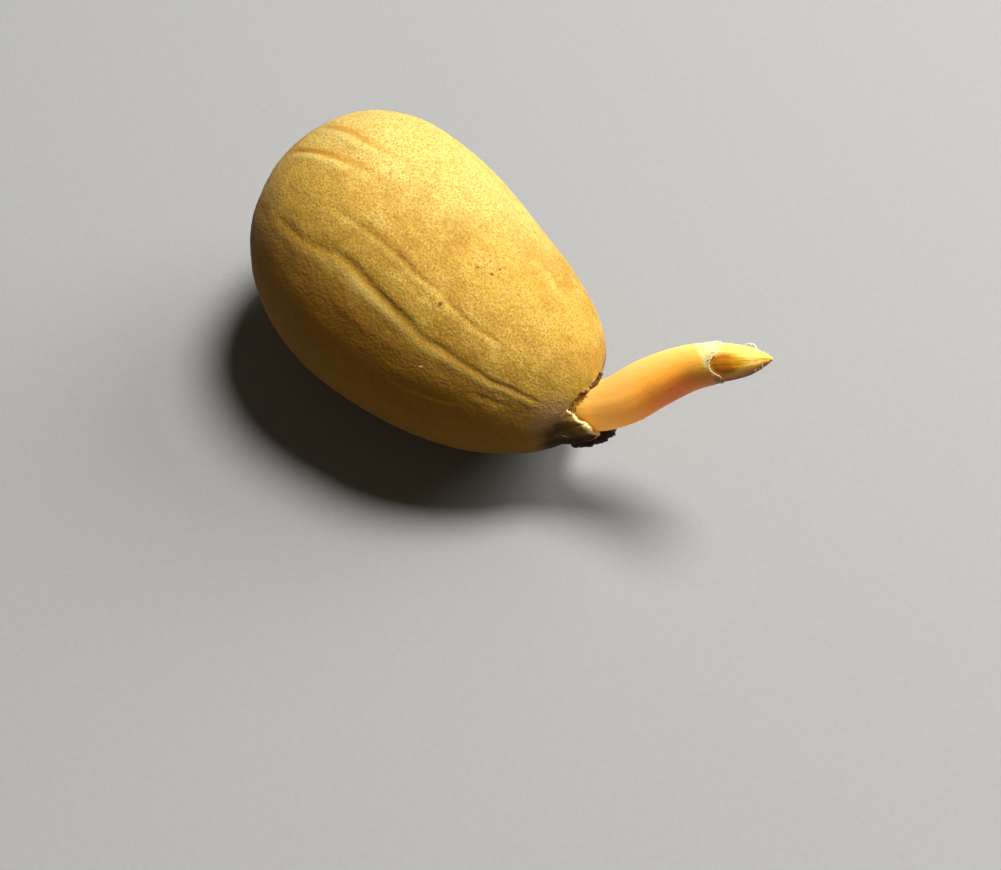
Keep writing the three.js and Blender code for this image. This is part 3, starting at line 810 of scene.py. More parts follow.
def make_tip(material):
    angles = round_angles(TIP_SECTORS)
    reach = PATH_LENGTH - COLLAR
    share = np.linspace(0, 1, TIP_RINGS)[:, None]
    beyond = -HIDDEN_FOOT + (reach - 0.03 + HIDDEN_FOOT) * share + 0 * angles
    radius = curve_through([(-1.2, 1.5), (-0.4, 1.62), *TIP_RADII[1:]], beyond.ravel()).reshape(beyond.shape)
    radius = radius * np.sqrt(np.clip((reach - beyond) / BLUNT, 0, 1))
    strand = strand_of(angles, beyond, TIP_GIRTH, 0.16)
    far = patch_distance(beyond, angles) + 0.12 * lumps(strand, 0.7, 4)
    sunk = 1 - smooth_step(far, 0.5, 1.2)
    rim = np.exp(-(((far - 1.12) / 0.13) ** 2))
    fibres = TIP_STREAK * lumps(strand, 0.42) + TIP_FOLD * lumps(strand * (1, 1, 2), 0.9, 5)
    calm = smooth_step(reach - beyond, 0.1, 1.3) * (1 - 0.5 * sunk)
    ragged = TIP_RAGGED * lumps(strand, 0.5, 8) * smooth_step(reach - beyond, 2.2, 0.4)
    radius = radius + fibres * calm + ragged - PATCH_DEPTH * sunk + PATCH_RIM * rim
    grid = around_root(COLLAR + beyond, np.maximum(radius, 0.01), angles)
    # The attribute turned by LIT_TURN tells how far each side faces the light; the paint uses it for painted
    # shade underneath
    piece = make_skin(
        "root_tip_skin", grid, path_point(COLLAR - 1.15), path_point(PATH_LENGTH),
        beyond=beyond, upward=np.sin(angles - LIT_TURN) + 0 * beyond, patch=far, strand=strand,
    )
    return finish_piece(piece, material, "tip_skin", "root_tip")


# Nodes of materials and of geometry trees
class Socket:
    """A socket whose sums are written as plain Python; each adds its Math node."""

    def __init__(self, nodes, socket):
        self.nodes, self.socket = nodes, socket

    def sum(self, operation, first, second):
        return self.nodes.node("ShaderNodeMath", {"operation": operation}, {0: first, 1: second})

    def __add__(self, other):
        return self.sum("ADD", self, other)

    def __mul__(self, other):
        return self.sum("MULTIPLY", self, other)

    def __sub__(self, other):
        return self.sum("SUBTRACT", self, other)

    def __rsub__(self, other):
        return self.sum("SUBTRACT", other, self)

    __radd__, __rmul__ = __add__, __mul__


class Nodes:
    """Makes every node of one tree the same way: its kind, its settings, then its values or links."""

    def __init__(self, tree):
        self.tree = tree

    def node(self, kind, settings=(), values=(), output=0):
        node = self.tree.nodes.new(kind)
        for key, value in dict(settings).items():
            setattr(node, key, value)
        for key, value in dict(values).items():
            if isinstance(value, Socket):
                self.tree.links.new(value.socket, node.inputs[key])
            elif node.inputs[key].type == "RGBA":
                node.inputs[key].default_value = (*value, 1.0)
            else:
                node.inputs[key].default_value = value
        return Socket(self, node.outputs[output]) if len(node.outputs) else node


class Paint(Nodes):
    """A material, with the patterns that its colours and bumps are made of, all in millimetres."""

    def __init__(self, name):
        self.material = bpy.data.materials.new(name)
        self.material.use_nodes = True
        super().__init__(self.material.node_tree)
        self.tree.nodes.clear()
        spot = self.node("ShaderNodeTexCoord", output="Object")
        self.place = self.node("ShaderNodeVectorMath", {"operation": "SCALE"}, {0: spot, "Scale": 1 / MM})

    def read(self, name, output="Fac"):
        return self.node("ShaderNodeAttribute", {"attribute_name": name}, output=output)

    def noise(self, vector, size, detail=2.0, roughness=0.55):
        values = {"Vector": vector, "Scale": 1 / size, "Detail": detail, "Roughness": roughness}
        return self.node("ShaderNodeTexNoise", {}, values)

    def cells(self, vector, size, output="Distance"):
        return self.node("ShaderNodeTexVoronoi", {}, {"Vector": vector, "Scale": 1 / size}, output)

    def step(self, value, low, high):
        values = {"Value": value, "From Min": low, "From Max": high}
        return self.node("ShaderNodeMapRange", {"interpolation_type": "SMOOTHSTEP"}, values)

    def blend(self, share, first, second):
        values = {0: share, 6: first, 7: second}
        return self.node("ShaderNodeMix", {"data_type": "RGBA"}, values, 2)

    def part(self, axis):
        return self.node("ShaderNodeSeparateXYZ", {}, {0: self.place}, axis)

    def layers(self, color, *rows):
        """Lays colours over one another: each row has a colour, a value with its range, and a share."""
        for second, value, low, high, share in rows:
            color = self.blend(self.step(value, low, high) * share, color, second)
        return color

    def near(self, spot):
        """Distance from a place of the seed's own frame."""
        values = {0: self.place, 1: tuple(in_row_frame(spot) / MM)}
        return self.node("ShaderNodeVectorMath", {"operation": "DISTANCE"}, values, "Value")

    def bump(self, height, distance, normal=None):
        values = {"Height": height, "Distance": distance * MM, "Strength": 1.0}
        if normal:
            values["Normal"] = normal
        return self.node("ShaderNodeBump", {}, values)

    def finish(self, color, roughness, normal, **constants):
        values = {"Base Color": color, "Roughness": roughness, "Normal": normal, **constants}
        skin = self.node("ShaderNodeBsdfPrincipled", {}, values)
        self.node("ShaderNodeOutputMaterial", {}, {"Surface": skin})
        return self.material


# Seed coat material
TAN = (0.335, 0.212, 0.03)
OLIVE_TAN = (0.236, 0.136, 0.0135)
# Painted shade: dark olive laid over the low side and belly of the coat
LOW_OLIVE_SHADE = (0.17, 0.073, 0.001)
# Pale bloom in random patches, also used as a painted highlight on the top, on the side towards the light
# and on the groove ridges
BLOOM_AND_HIGHLIGHT = (0.47, 0.385, 0.12)
GRAIN_ORANGE = (0.33, 0.165, 0.012)
GRAIN_DARK = (0.17, 0.085, 0.007)
GRAIN_PINK = (0.403, 0.233, 0.063)
# Brown of the grooves: partly their own colour, partly painted shade in the crease
GROOVE_BROWN_AND_SHADE = (0.15, 0.062, 0.004)
# Orange beside the creases: partly their own tint, partly painted shade on one side of the crease
CREASE_ORANGE_AND_SHADE = (0.416, 0.183, 0.0126)
END_OLIVE = (0.214, 0.12, 0.0082)
END_PINK = (0.227, 0.126, 0.063)
FLAP_SHADE = (0.055, 0.03, 0.006)
FLAP_SMEAR = (0.125, 0.07, 0.013)
# Near-black maroon under the opening: partly the inner layer's own colour carried onto the lip, partly
# painted shade
UNDER_MAROON_AND_SHADE = (0.022, 0.006, 0.003)
TORN_CREAM = (0.86, 0.6, 0.24)
TORN_BROWN = (0.063, 0.0315, 0.00756)
SCRAP_TAN = (0.391, 0.195, 0.0315)
INSIDE_BROWN = (0.0315, 0.0126, 0.00441)
SPECK_BROWN = (0.0819, 0.041, 0.00504)
PALE_CRUMB_AND_GLINT = (0.535, 0.441, 0.284)
DARK_SPOTS = [
    ((6.27, -5.54, 10.92), 0.30), ((6.06, -0.39, 11.91), 0.18), ((7.38, 0.24, 11.58), 0.24),
    ((7.43, 1.28, 11.47), 0.20), ((4.66, 0.39, 12.14), 0.14), ((5.32, 8.6, 8.38), 0.22),
    ((19.28, 1.44, 5.07), 0.14), ((19.42, 1.44, 4.8), 0.14), ((19.14, 1.44, 5.3), 0.12),
]
# Pale crumbs on the coat, and a row of spots along the flap's lower edge that is a painted highlight
PALE_SPOTS_AND_GLINTS = [
    ((8.52, -9.88, 7.01), 0.20), ((8.85, -10.03, 6.64), 0.12), ((19.6, -2.75, 0.6), 0.13),
    ((21.1, -2.07, 0.61), 0.13), ((21.25, -1.95, 0.53), 0.14), ((21.4, -1.82, 0.45), 0.14),
    ((21.55, -1.68, 0.35), 0.13), ((21.69, -1.55, 0.25), 0.12),
]
FLAP_SPOT = (20.9, -1.9, 0.6)
END_PINK_SPOT = (19.5, -2.5, 3.0)


def dab(paint, color, spots, dab_color):
    """Small round marks at places of the seed's own frame."""
    for spot, size in spots:
        mask = 1 - paint.step(paint.near(spot), 0.55 * size, size)
        color = paint.blend(mask * 0.9, color, dab_color)
    return color


def coat_skin_color(paint, broad, patch, fine):
    """Tan and olive in clouds, with a strong fine grain of orange, pink and dark flecks, a painted highlight
    on the top and the side towards the light, and painted shade on the low side and belly.
    """
    grit = paint.noise(paint.place, 0.2, 3, 0.7)
    tint = paint.noise(paint.place, 0.9, 3, 0.65)
    forward, left, height = (paint.part(axis) for axis in "XYZ")
    # Masks for painted shade: the low side turned from the light, and the belly near the table
    shaded_low_side = paint.step(14.4 + 5.0 * broad - left - 0.6 * height, 8.5, 17.5)
    shaded_belly = paint.step(12.0 + 3.0 * broad - height, 0.0, 6.0)
    color = paint.blend(paint.step(broad + patch, 0.8, 1.15), OLIVE_TAN, TAN)
    color = paint.layers(
        color,
        (BLOOM_AND_HIGHLIGHT, patch - 0.3 * broad, 0.4, 0.56, 0.3),
        # Painted highlight: paler towards the top and the side towards the light
        (BLOOM_AND_HIGHLIGHT, height + left - 0.25 * forward + 4.0 * patch, 24.5, 33.0, 0.65),
        (GRAIN_ORANGE, tint, 0.5, 0.68, 0.5),
        (GRAIN_PINK, fine, 0.48, 0.62, 0.55),
        (GRAIN_ORANGE, 0.95 - fine, 0.5, 0.66, 0.5),
    )
    # Painted shade: the low side and belly darkened to olive
    color = paint.blend(shaded_low_side * (0.78 + 0.2 * tint), color, LOW_OLIVE_SHADE)
    color = paint.blend(shaded_belly * (1 - shaded_low_side) * 0.8, color, LOW_OLIVE_SHADE)
    return paint.layers(color, (GRAIN_DARK, grit, 0.43, 0.64, 0.8 - 0.35 * shaded_low_side))


def coat_end_color(paint, color, fibre, patch):
    """Olive streaks and a pinkish brown tinge near the opening, and the flap darkened by painted shade, with
    smears.
    """
    at_end = 1 - paint.step(paint.near(OPENING), 3.0, 9.5)
    streak = paint.step(fibre, 0.4, 0.62)
    color = paint.blend(at_end * (0.25 + 0.6 * streak), color, END_OLIVE)
    pink = 1 - paint.step(paint.near(END_PINK_SPOT), 0.8, 3.4)
    color = paint.blend(pink * (0.35 + 0.5 * patch), color, END_PINK)
    shade = 1 - paint.step(paint.near(FLAP_SPOT), 1.1, 3.3)
    flap_color = paint.blend(paint.step(fibre + 0.6 * patch, 0.72, 0.95), FLAP_SHADE, FLAP_SMEAR)
    return paint.blend(shade * paint.read("flap"), color, flap_color)


def coat_paint():
    paint = Paint("coat")
    place, strand = paint.place, paint.read("strand", "Vector")
    valley, crest, orange = (paint.read(name) for name in ("valley", "crest", "orange"))
    torn, inside = paint.read("torn"), paint.read("inside")
    broad = paint.noise(place, 8.0, 3)
    patch = paint.noise(place, 2.6, 4, 0.6)
    fibre = paint.noise(strand, 0.4, 3, 0.65)
    fine = paint.noise(place, 0.42, 3, 0.7)
    color = coat_skin_color(paint, broad, patch, fine)
    color = coat_end_color(paint, color, fibre, patch)
    color = paint.layers(
        color,
        # Grooves darkened brown: partly their own colour, partly painted shade in the crease
        (GROOVE_BROWN_AND_SHADE, valley, 0.08, 0.95, 0.45 + 0.5 * fine),
        # Painted highlight on the ridges beside the grooves
        (BLOOM_AND_HIGHLIGHT, crest, 0.1, 0.9, 0.4),
        # Orange beside the creases: partly their own tint, partly painted shade
        (CREASE_ORANGE_AND_SHADE, orange, 0.15, 1.0, 0.5),
    )
    speck = paint.cells(place, 1.9)
    rare = paint.step(paint.cells(place, 1.9, "Color"), 0.55, 0.6)
    color = paint.blend((1 - paint.step(speck, 0.03, 0.075)) * rare * 0.8, color, SPECK_BROWN)
    color = dab(paint, color, DARK_SPOTS, SPECK_BROWN)
    # Pale crumbs, and a painted highlight along the flap's lower edge
    color = dab(paint, color, PALE_SPOTS_AND_GLINTS, PALE_CRUMB_AND_GLINT)
    edge = paint.blend(paint.step(paint.read("flap"), 0.3, 0.7), TORN_BROWN, TORN_CREAM)
    edge = paint.blend(paint.read("scrap"), edge, SCRAP_TAN)
    color = paint.blend(torn, color, edge)
    # Lip under the opening: partly the inner layer's maroon, partly painted shade
    color = paint.blend(paint.read("under") * 0.9, color, UNDER_MAROON_AND_SHADE)
    color = paint.blend(inside * (1 - 0.75 * torn), color, INSIDE_BROWN)
    roughness = 0.7 + 0.2 * fine - 0.1 * valley
    grain = paint.cells(place, 0.3)
    normal = paint.bump(patch, 0.14)
    normal = paint.bump(fibre * (1 - paint.step(paint.near(OPENING), 5.0, 14.0)), 0.05, normal)
    normal = paint.bump(0.5 * (1 - grain) + 0.6 * fine, 0.07, normal)
    constants = {"Specular IOR Level": 0.12, "Sheen Weight": 0.02, "Sheen Roughness": 0.5}
    return paint.finish(color, roughness, normal, **constants)


# Inner scale material
MAROON = (0.0126, 0.00378, 0.00315)
MAROON_LIT = (0.041, 0.0113, 0.00693)
SCALE_EDGE_BROWN = (0.0819, 0.0347, 0.0139)


def scale_paint():
    paint = Paint("inner scale")
    fine = paint.noise(paint.place, 0.35, 4, 0.65)
    patch = paint.noise(paint.place, 1.4, 3)
    color = paint.blend(paint.step(patch, 0.42, 0.68), MAROON, MAROON_LIT)
    color = paint.blend(paint.read("rim") * paint.step(fine, 0.4, 0.65) * 0.6, color, SCALE_EDGE_BROWN)
    normal = paint.bump(fine + 0.6 * patch, 0.06)
    return paint.finish(color, 0.42 + 0.3 * fine, normal, **{"Specular IOR Level": 0.4})


# Root material
ROOT_LIGHT = (0.98, 0.56, 0.13)
ROOT_ORANGE = (0.97, 0.42, 0.045)
# Painted light on the root: deeper reds and pink on the side turned from the light, and a yellower painted
# highlight on its lit top; the deep red also colours random streaks
ROOT_DEEP_AND_SHADE = (0.95, 0.3, 0.012)
ROOT_LOW_SHADE = (0.9, 0.17, 0.001)
ROOT_TOP_HIGHLIGHT = (0.78, 0.43, 0.1)
ROOT_PINK_SHADE = (0.74, 0.36, 0.18)
# Orange of a painted glow on the root's shaded lower side near the seed
PAINTED_GLOW_ORANGE = (1.0, 0.42, 0.03)
NO_LIGHT = (0.0, 0.0, 0.0)
SHEATH_CREAM = (0.86, 0.63, 0.25)
# Pink: the sheath's own colour inside, and painted shade on its side turned from the light; dark brown:
# painted shade
SHEATH_PINK_AND_SHADE = (0.66, 0.3, 0.12)
SHEATH_DARK_SHADE = (0.14, 0.045, 0.012)


def root_paint():
    paint = Paint("root skin")
    place, strand = paint.place, paint.read("strand", "Vector")
    along, upward, paled = (paint.read(name) for name in ("along", "upward", "paled"))
    torn, inner = paint.read("torn"), paint.read("inner")
    fibre = paint.noise(strand, 0.4, 3, 0.6)
    patch = paint.noise(place, 1.3, 3, 0.6)
    fine = paint.noise(place, 0.22, 3, 0.7)
    outward = paint.step(along + 3.0 * patch, 8.0, 15.5)
    color = paint.blend(outward, ROOT_LIGHT, ROOT_ORANGE)
    # Rows keyed to facing the light are painted light: darker reds and pink where the root turns from the
    # light, a yellower top where it faces it
    color = paint.layers(
        color,
        (ROOT_DEEP_AND_SHADE, 0.6 - upward, 0.0, 0.8, 0.25 + 0.75 * outward),
        (ROOT_LOW_SHADE, 0.2 - upward, 0.1, 0.9, 0.1 + 0.9 * outward),
        (ROOT_DEEP_AND_SHADE, fibre, 0.45, 0.7, 0.4),
        (ROOT_LIGHT, fine + 0.5 * patch, 0.72, 1.0, 0.3),
        (ROOT_PINK_SHADE, 0.0 - upward, 0.8, 0.98, 0.6),
        (ROOT_TOP_HIGHLIGHT, upward + 0.2 * fibre, 0.6, 1.1, 1),
    )
    # Painted shade on the pale sheath: pink, then dark brown, on the side turned from the light
    below = paint.step(0.45 - upward, 0.0, 0.5)
    pale = paint.blend(below, SHEATH_CREAM, SHEATH_PINK_AND_SHADE)
    dark = paint.step(0.0 - upward, 0.2, 0.6)
    pale = paint.blend(dark * (0.65 + 0.35 * paint.step(fibre, 0.4, 0.6)), pale, SHEATH_DARK_SHADE)
    pale = paint.layers(pale, (ROOT_LIGHT, fibre, 0.5, 0.8, 0.3))
    color = paint.layers(color, (pale, paled + 0.5 * fibre + 0.2 * fine, 0.35, 1.15, 1))
    color = paint.blend(torn * (1 - below) * 0.6, color, SHEATH_CREAM)
    color = paint.blend(inner * 0.5, color, SHEATH_PINK_AND_SHADE)
    normal = paint.bump(patch, 0.05)
    normal = paint.bump(fibre, 0.03, normal)
    normal = paint.bump(fine, 0.016, normal)
    constants = {
        "Specular IOR Level": 0.4, "Coat Roughness": 0.35, "Coat Weight": 0.08,
        "Subsurface Weight": 0.65, "Subsurface Radius": (1.0, 0.5, 0.25), "Subsurface Scale": 0.0017,
    }
    # Painted glow: an orange emission on the lower, shaded side near the seed, standing in for light passing
    # through the root
    through = (1 - paint.step(along, 6.0, 17.0)) * (1 - paint.step(upward, 0.45, 1.0)) * (1 - torn)
    constants["Emission Color"] = paint.blend(through, NO_LIGHT, PAINTED_GLOW_ORANGE)
    constants["Emission Strength"] = 0.22
    return paint.finish(color, 0.42 + 0.2 * fibre, normal, **constants)


# Tip material
TIP_YELLOW = (0.76, 0.53, 0.12)
TIP_STRAW = (0.72, 0.42, 0.06)
# Underside of the tip: a deeper orange that is painted shade, and a dark purple that is partly its own
# colour, partly painted shade
TIP_UNDER_SHADE = (0.55, 0.17, 0.002)
TIP_PURPLE_AND_SHADE = (0.10, 0.04, 0.022)
AMBER = (0.46, 0.15, 0.001)
AMBER_LIGHT = (0.7, 0.38, 0.006)
AMBER_EDGE = (0.24, 0.08, 0.001)


def tip_paint():
    paint = Paint("tip skin")
    place, strand = paint.place, paint.read("strand", "Vector")
    beyond, upward, patch = (paint.read(name) for name in ("beyond", "upward", "patch"))
    fibre = paint.noise(strand, 0.3, 4, 0.65)
    fine = paint.noise(place, 0.16, 3, 0.7)
    blotch = paint.noise(place, 0.9, 3)
    color = paint.blend(paint.step(fibre + 0.5 * blotch, 0.6, 0.95), TIP_YELLOW, TIP_STRAW)
    # The underside row is painted shade on the side turned from the light
    color = paint.layers(
        color,
        (TIP_STRAW, beyond + blotch, 4.6, 6.2, 0.7),
        (TIP_UNDER_SHADE, 0.3 * fibre - 0.35 - upward, 0.0, 0.5, 1),
    )
    joined = paint.step(0.6 * blotch - beyond, -1.7, -0.6) * paint.step(upward, 0.2, 0.8)
    color = paint.blend(joined * 0.8, color, SHEATH_CREAM)
    amber = paint.blend(paint.step(beyond + 1.6 * blotch, 3.0, 5.0), AMBER, AMBER_LIGHT)
    rim = paint.step(patch, 0.45, 0.9) * (1 - paint.step(beyond, 1.9, 3.3))
    amber = paint.blend(rim * (0.45 + 0.5 * paint.step(fine, 0.4, 0.6)), amber, AMBER_EDGE)
    edge = paint.step(patch + 0.5 * fine + 0.3 * fibre, 1.05, 1.6)
    color = paint.blend(1 - edge, color, amber)
    # Dark purple underneath: partly the tissue's own colour, partly painted shade
    color = paint.layers(color, (TIP_PURPLE_AND_SHADE, 0.0 - upward + 0.25 * fibre, 0.72, 1.0, 1))
    normal = paint.bump(fibre, 0.06)
    normal = paint.bump(fine, 0.03, normal)
    constants = {
        "Specular IOR Level": 0.25, "Subsurface Weight": 0.25,
        "Subsurface Radius": (1.0, 0.7, 0.4), "Subsurface Scale": 0.0006,
    }
    return paint.finish(color, 0.42 + 0.25 * fibre, normal, **constants)


# Small repeats, grown by geometry trees
TIP_FIBRE = [
    (29.45, 11.23, 13.33), (29.54, 11.46, 13.64), (29.8, 11.72, 14.0), (30.1, 11.88, 14.25),
    (30.45, 11.9, 14.34), (30.77, 11.79, 14.27), (31.1, 11.75, 14.31), (31.33, 11.73, 14.3),
]
FIBRE_BRANCH = [(30.1, 11.88, 14.25), (30.15, 11.7, 14.5), (30.28, 11.5, 14.66)]
STUB_LINE = [
    (19.95, 2.1, 3.95), (20.12, 2.45, 4.1), (20.25, 2.8, 4.45), (20.2, 3.2, 4.9), (20.1, 3.6, 5.35),
]
FIBRE_COLOR = (0.86, 0.74, 0.42)
SHRED_CREAM = (0.80, 0.62, 0.32)
STUB_BROWN = (0.22, 0.115, 0.016)
CRUMB_BROWN = (0.0473, 0.0202, 0.00504)


class Tree(Nodes):
    """A geometry tree with named inputs, which ends in plain geometry with one material."""

    def __init__(self, name, inputs):
        tree = bpy.data.node_groups.new(name, "GeometryNodeTree")
        super().__init__(tree)
        tree.interface.new_socket("Geometry", in_out="INPUT", socket_type="NodeSocketGeometry")
        for key in inputs:
            kind = "NodeSocketInt" if key == "Seed" else "NodeSocketFloat"
            tree.interface.new_socket(key, in_out="INPUT", socket_type=kind)
        tree.interface.new_socket("Geometry", in_out="OUTPUT", socket_type="NodeSocketGeometry")
        self.group_inputs = tree.nodes.new("NodeGroupInput")

    def given(self, name):
        return Socket(self, self.group_inputs.outputs[name])

    def end(self, geometry, material):
        geometry = self.node("GeometryNodeRealizeInstances", {}, {0: geometry})
        geometry = self.node("GeometryNodeSetMaterial", {}, {0: geometry, "Material": material})
        self.node("NodeGroupOutput", {}, {0: geometry})


def flat_profile(tree):
    size = {"Width": tree.given("Width"), "Height": tree.given("Thickness")}
    return tree.node("GeometryNodeCurvePrimitiveQuadrilateral", {}, size)


def swept(tree, curve, profile):
    """Closed mesh along a curve, which narrows towards its far end."""
    along = tree.node("GeometryNodeSplineParameter")
    values = {"Curve": curve, "Radius": 1 - 0.8 * along * along}
    curve = tree.node("GeometryNodeSetCurveRadius", {}, values)
    values = {"Curve": curve, "Profile Curve": profile, "Fill Caps": True}
    return tree.node("GeometryNodeCurveToMesh", {}, values)


def shred_shape(tree):
    """A thin bent shred, as long as Length, as wide as Width and as thick as Thickness."""
    reach = tree.given("Length")
    bend = tree.node("ShaderNodeCombineXYZ", {}, {"X": 0.1 * reach, "Z": 0.6 * reach})
    end = tree.node("ShaderNodeCombineXYZ", {}, {"X": 0.5 * reach, "Z": reach})
    line = {"Resolution": 5, "Start": (0, 0, 0), "Middle": bend, "End": end}
    line = tree.node("GeometryNodeCurveQuadraticBezier", {}, line)
    return swept(tree, line, flat_profile(tree))


def crumb_shape(tree):
    return tree.node("GeometryNodeMeshIcoSphere", {}, {"Radius": tree.given("Length"), "Subdivisions": 1})


def random_between(tree, kind, low, high, seed_shift):
    """Random value between two, in its own order for each use."""
    node = tree.tree.nodes.new("FunctionNodeRandomValue")
    node.data_type = kind
    slots = [socket for socket in node.inputs if socket.enabled]
    slots[0].default_value, slots[1].default_value = low, high
    seed = tree.given("Seed") + seed_shift
    tree.tree.links.new(seed.socket, node.inputs["Seed"])
    return Socket(tree, next(socket for socket in node.outputs if socket.enabled))


def scatter_tree(name, shape, material):
    """Tree that scatters one small shape over a skin, leaning and turned at random."""
    tree = Tree(name, ["Density", "Seed", "Length", "Width", "Thickness", "Lean"])
    density, seed, lean = (tree.given(name) for name in ("Density", "Seed", "Lean"))
    spread = {"Mesh": tree.given("Geometry"), "Density": density, "Seed": seed}
    points = tree.node("GeometryNodeDistributePointsOnFaces", {}, spread)
    upright = Socket(tree, points.socket.node.outputs["Rotation"])
    turn = random_between(tree, "FLOAT_VECTOR", (-1, -1, -math.pi), (1, 1, math.pi), 1)
    lean = tree.node("ShaderNodeCombineXYZ", {}, {"X": lean, "Y": lean, "Z": 1})
    turn = tree.node("ShaderNodeVectorMath", {"operation": "MULTIPLY"}, {0: turn, 1: lean})
    turn = tree.node("FunctionNodeEulerToRotation", {}, {0: turn})
    turned = {"Rotation": upright, "Rotate By": turn}
    turned = tree.node("FunctionNodeRotateRotation", {"rotation_space": "LOCAL"}, turned)
    size = random_between(tree, "FLOAT_VECTOR", (0.5, 0.5, 0.4), (1.1, 1.1, 1.2), 2)
    values = {"Points": points, "Instance": shape(tree), "Rotation": turned, "Scale": size}
    tree.end(tree.node("GeometryNodeInstanceOnPoints", {}, values), material)
    return tree


def fibre_tree(name, material):
    """Tree that sweeps a round or flat strand along a line of points."""
    tree = Tree(name, ["Width", "Thickness", "Count"])
    line = tree.node("GeometryNodeMeshToCurve", {}, {"Mesh": tree.given("Geometry")})
    line = tree.node("GeometryNodeCurveSplineType", {"spline_type": "CATMULL_ROM"}, {"Curve": line})
    line = tree.node("GeometryNodeResampleCurve", {}, {"Curve": line, "Count": tree.given("Count")})
    corner = {"Curve": flat_profile(tree), "Radius": 0.4 * tree.given("Thickness")}
    tree.end(swept(tree, line, tree.node("GeometryNodeFilletCurve", {}, corner)), material)
    return tree


UNITS = {"density": 1 / (MM * MM), "length": MM, "width": MM, "thickness": MM}


def grow(host, tree, slot, **values):
    """Runs a tree, its inputs given in millimetres, on a host and keeps the result as a plain mesh."""
    modifier = host.modifiers.new("tree", "NODES")
    modifier.node_group = tree.tree
    for item in tree.tree.interface.items_tree:
        key = item.name.lower()
        if item.in_out == "INPUT" and key in values:
            modifier[item.identifier] = values[key] * UNITS.get(key, 1)
    graph = bpy.context.evaluated_depsgraph_get()
    grown = bpy.data.meshes.new_from_object(host.evaluated_get(graph), depsgraph=graph)
    host.modifiers.remove(modifier)
    host.data = grown
    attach(host, "root")
    return host


def grid_faces(rows, columns):
    corner = np.arange((rows - 1) * columns).reshape(rows - 1, columns)[:, : columns - 1]
    quads = np.stack([corner, corner + 1, corner + columns + 1, corner + columns], axis=-1)
    return quads.reshape(-1, 4).tolist()


def make_host(name, grid):
    """A patch of skin that only tells a tree where to grow."""
    return make_piece(name, grid.reshape(-1, 3), grid_faces(*grid.shape[:2]))


def make_line(name, points):
    edges = [(k, k + 1) for k in range(len(points) - 1)]
    return make_piece(name, np.array(points), [], edges)


def plain_paint(name, first, second, roughness):
    paint = Paint(name)
    fine = paint.noise(paint.place, 0.25, 3, 0.65)
    color = paint.blend(paint.step(fine, 0.4, 0.62), first, second)
    return paint.finish(color, roughness, paint.bump(fine, 0.03))


def collar_band():
    """Ring that faces forward at the torn end of the sheath."""
    angles = np.linspace(0, 2 * math.pi, 97)[None]
    end = COLLAR + curve_round(SHEATH_END, angles.ravel() / DEG)[:, 0][None]
    radius = np.linspace(1.84, 1.98, 3)[:, None]
    return around_root(end - 0.06 + 0 * radius, radius + 0 * angles, angles + 0 * radius)


def tip_band(first, last):
    angles = np.linspace(0, 2 * math.pi, 65)[None]
    beyond = np.linspace(first, last, 12)[:, None]
    radius = curve_through(TIP_RADII, beyond.ravel()).reshape(-1, 1) * 0.94
    return around_root(COLLAR + beyond + 0 * angles, radius + 0 * angles, angles + 0 * beyond)


def gap_band(first, last):
    """Strip between the torn rim and the root's skin."""
    angles = np.radians(np.linspace(first, last, 40))
    edge, _ = coat_edge(angles)
    return np.array([towards_root(edge, -0.05), at_distance(edge, 0.0, 1.0)])


def make_small_repeats():
    shred = plain_paint("shreds", SHRED_CREAM, SHEATH_CREAM, 0.6)
    brown = plain_paint("brown shreds", STUB_BROWN, CRUMB_BROWN, 0.75)
    fibre = plain_paint("pale fibre", FIBRE_COLOR, SHEATH_CREAM, 0.5)
    shreds = scatter_tree("shreds", shred_shape, shred)
    hairs = scatter_tree("hairs", shred_shape, fibre)
    brown_shreds = scatter_tree("brown shreds", shred_shape, brown)
    crumbs = scatter_tree("crumbs", crumb_shape, brown)
    strand = fibre_tree("strand", fibre)
    stub = fibre_tree("stub", brown)
    grow(
        make_host("collar_shreds", collar_band()), shreds, "root_skin",
        density=55, seed=3, length=0.34, width=0.12, thickness=0.025, lean=0.55,
    )
    grow(
        make_host("tip_hairs", tip_band(4.6, 6.15)), hairs, "tip_skin",
        density=7, seed=5, length=0.24, width=0.028, thickness=0.022, lean=0.8,
    )
    grow(
        make_host("rim_shreds", gap_band(88, 158)), brown_shreds, "seed_coat",
        density=7, seed=8, length=0.24, width=0.09, thickness=0.04, lean=0.9,
    )
    grow(
        make_host("rim_crumbs", gap_band(100, 160)), crumbs, "seed_coat",
        density=10, seed=9, length=0.07, lean=1.0,
    )
    for name, line, tree, slot, width, thickness, count in (
        ("tip_fibre", TIP_FIBRE, strand, "tip_skin", 0.09, 0.07, 48),
        ("fibre_branch", FIBRE_BRANCH, strand, "tip_skin", 0.05, 0.04, 16),
        ("rim_stub", STUB_LINE, stub, "seed_coat", 0.52, 0.36, 30),
    ):
        grow(make_line(name, line), tree, slot, width=width, thickness=thickness, count=count)


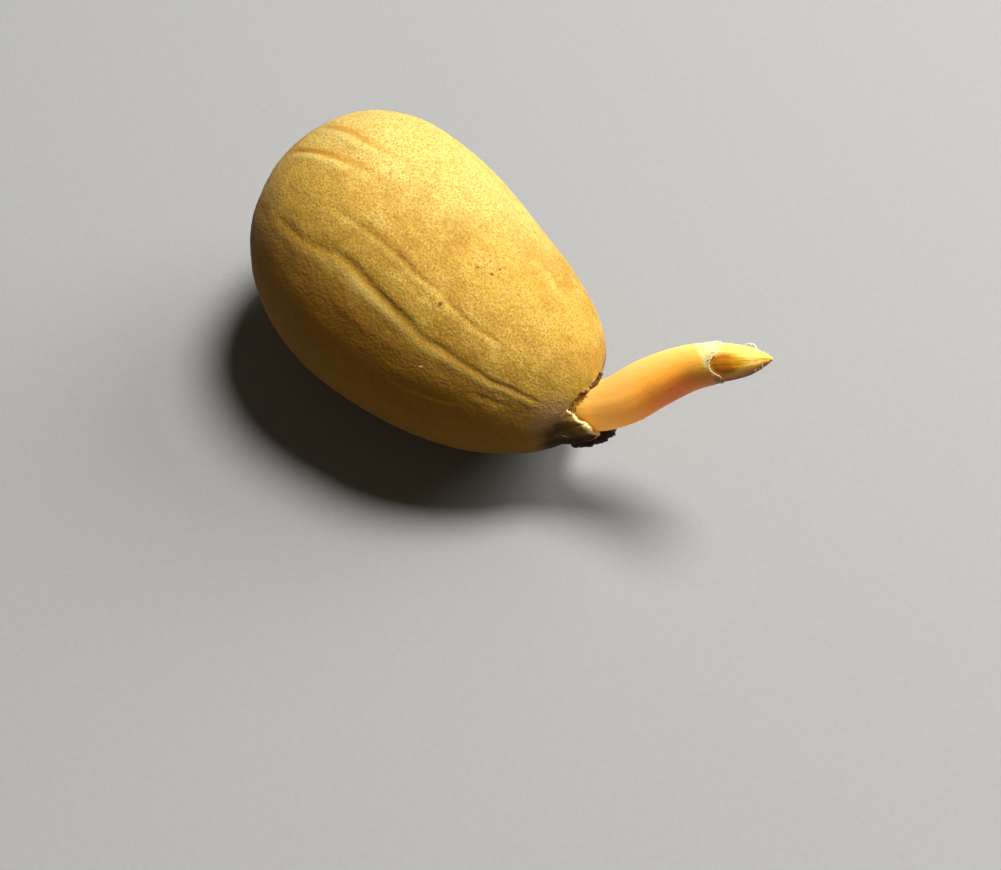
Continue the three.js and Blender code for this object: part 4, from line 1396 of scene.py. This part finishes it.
# Floor, light and camera
CAMERA_PLACE = np.array([85.43, -73.51, 159.11]) * MM
CAMERA_AIM = np.array([11.76, -1.06, 0.0]) * MM
CAMERA_LENS = 64.7
FLOOR_SIZE = 2.4
DAYLIGHT = (1.0, 0.985, 0.955)
WARM_LIGHT = (1.0, 0.74, 0.4)


def floor_paint():
    paint = Paint("pale floor")
    fine = paint.noise(paint.place, 0.7, 4, 0.6)
    color = paint.blend(fine, (0.16, 0.161, 0.161), (0.184, 0.186, 0.186))
    return paint.finish(color, 0.85, paint.bump(fine, 0.02), **{"Specular IOR Level": 0.2})


def make_floor():
    half = FLOOR_SIZE / 2
    corners = [(-half, -half, 0), (half, -half, 0), (half, half, 0), (-half, half, 0)]
    mesh = bpy.data.meshes.new("floor")
    mesh.from_pydata(corners, [], [(0, 1, 2, 3)])
    mesh.materials.append(floor_paint())
    add_object("floor", mesh)


def make_light(name, way, distance, size, power, color):
    light = bpy.data.lights.new(name, "AREA")
    light.shape, light.size, light.energy, light.color = "DISK", size, power, color
    lamp = add_object(name, light)
    way = Vector(way).normalized()
    lamp.location = way * distance
    lamp.rotation_euler = way.to_track_quat("Z", "Y").to_euler()


def make_studio():
    make_light("key", (0.05, 0.47, 1.0), 0.7, 0.24, 12.2, DAYLIGHT)
    make_light("window", (0.3, 1.0, 0.6), 0.8, 0.6, 10.0, DAYLIGHT)
    make_light("fill", (0.9, -0.9, 0.8), 0.8, 0.6, 0.55, WARM_LIGHT)
    world = bpy.data.worlds.new("studio")
    world.use_nodes = True
    glow = world.node_tree.nodes["Background"].inputs
    glow["Color"].default_value = (1.0, 0.89, 0.7, 1.0)
    glow["Strength"].default_value = 0.075
    bpy.context.scene.world = world
    bpy.context.scene.view_settings.view_transform = "Standard"


def make_camera():
    camera = bpy.data.cameras.new("camera")
    camera.lens, camera.sensor_width = CAMERA_LENS, 36
    camera.clip_start, camera.clip_end = 0.005, 20
    view = add_object("camera", camera)
    view.location = CAMERA_PLACE
    view.rotation_euler = Vector(CAMERA_PLACE - CAMERA_AIM).to_track_quat("Z", "Y").to_euler()
    bpy.context.scene.camera = view


make_camera()
make_floor()
make_studio()
make_coat(coat_paint())
make_scale(scale_paint())
make_root(root_paint())
make_tip(tip_paint())
make_small_repeats()
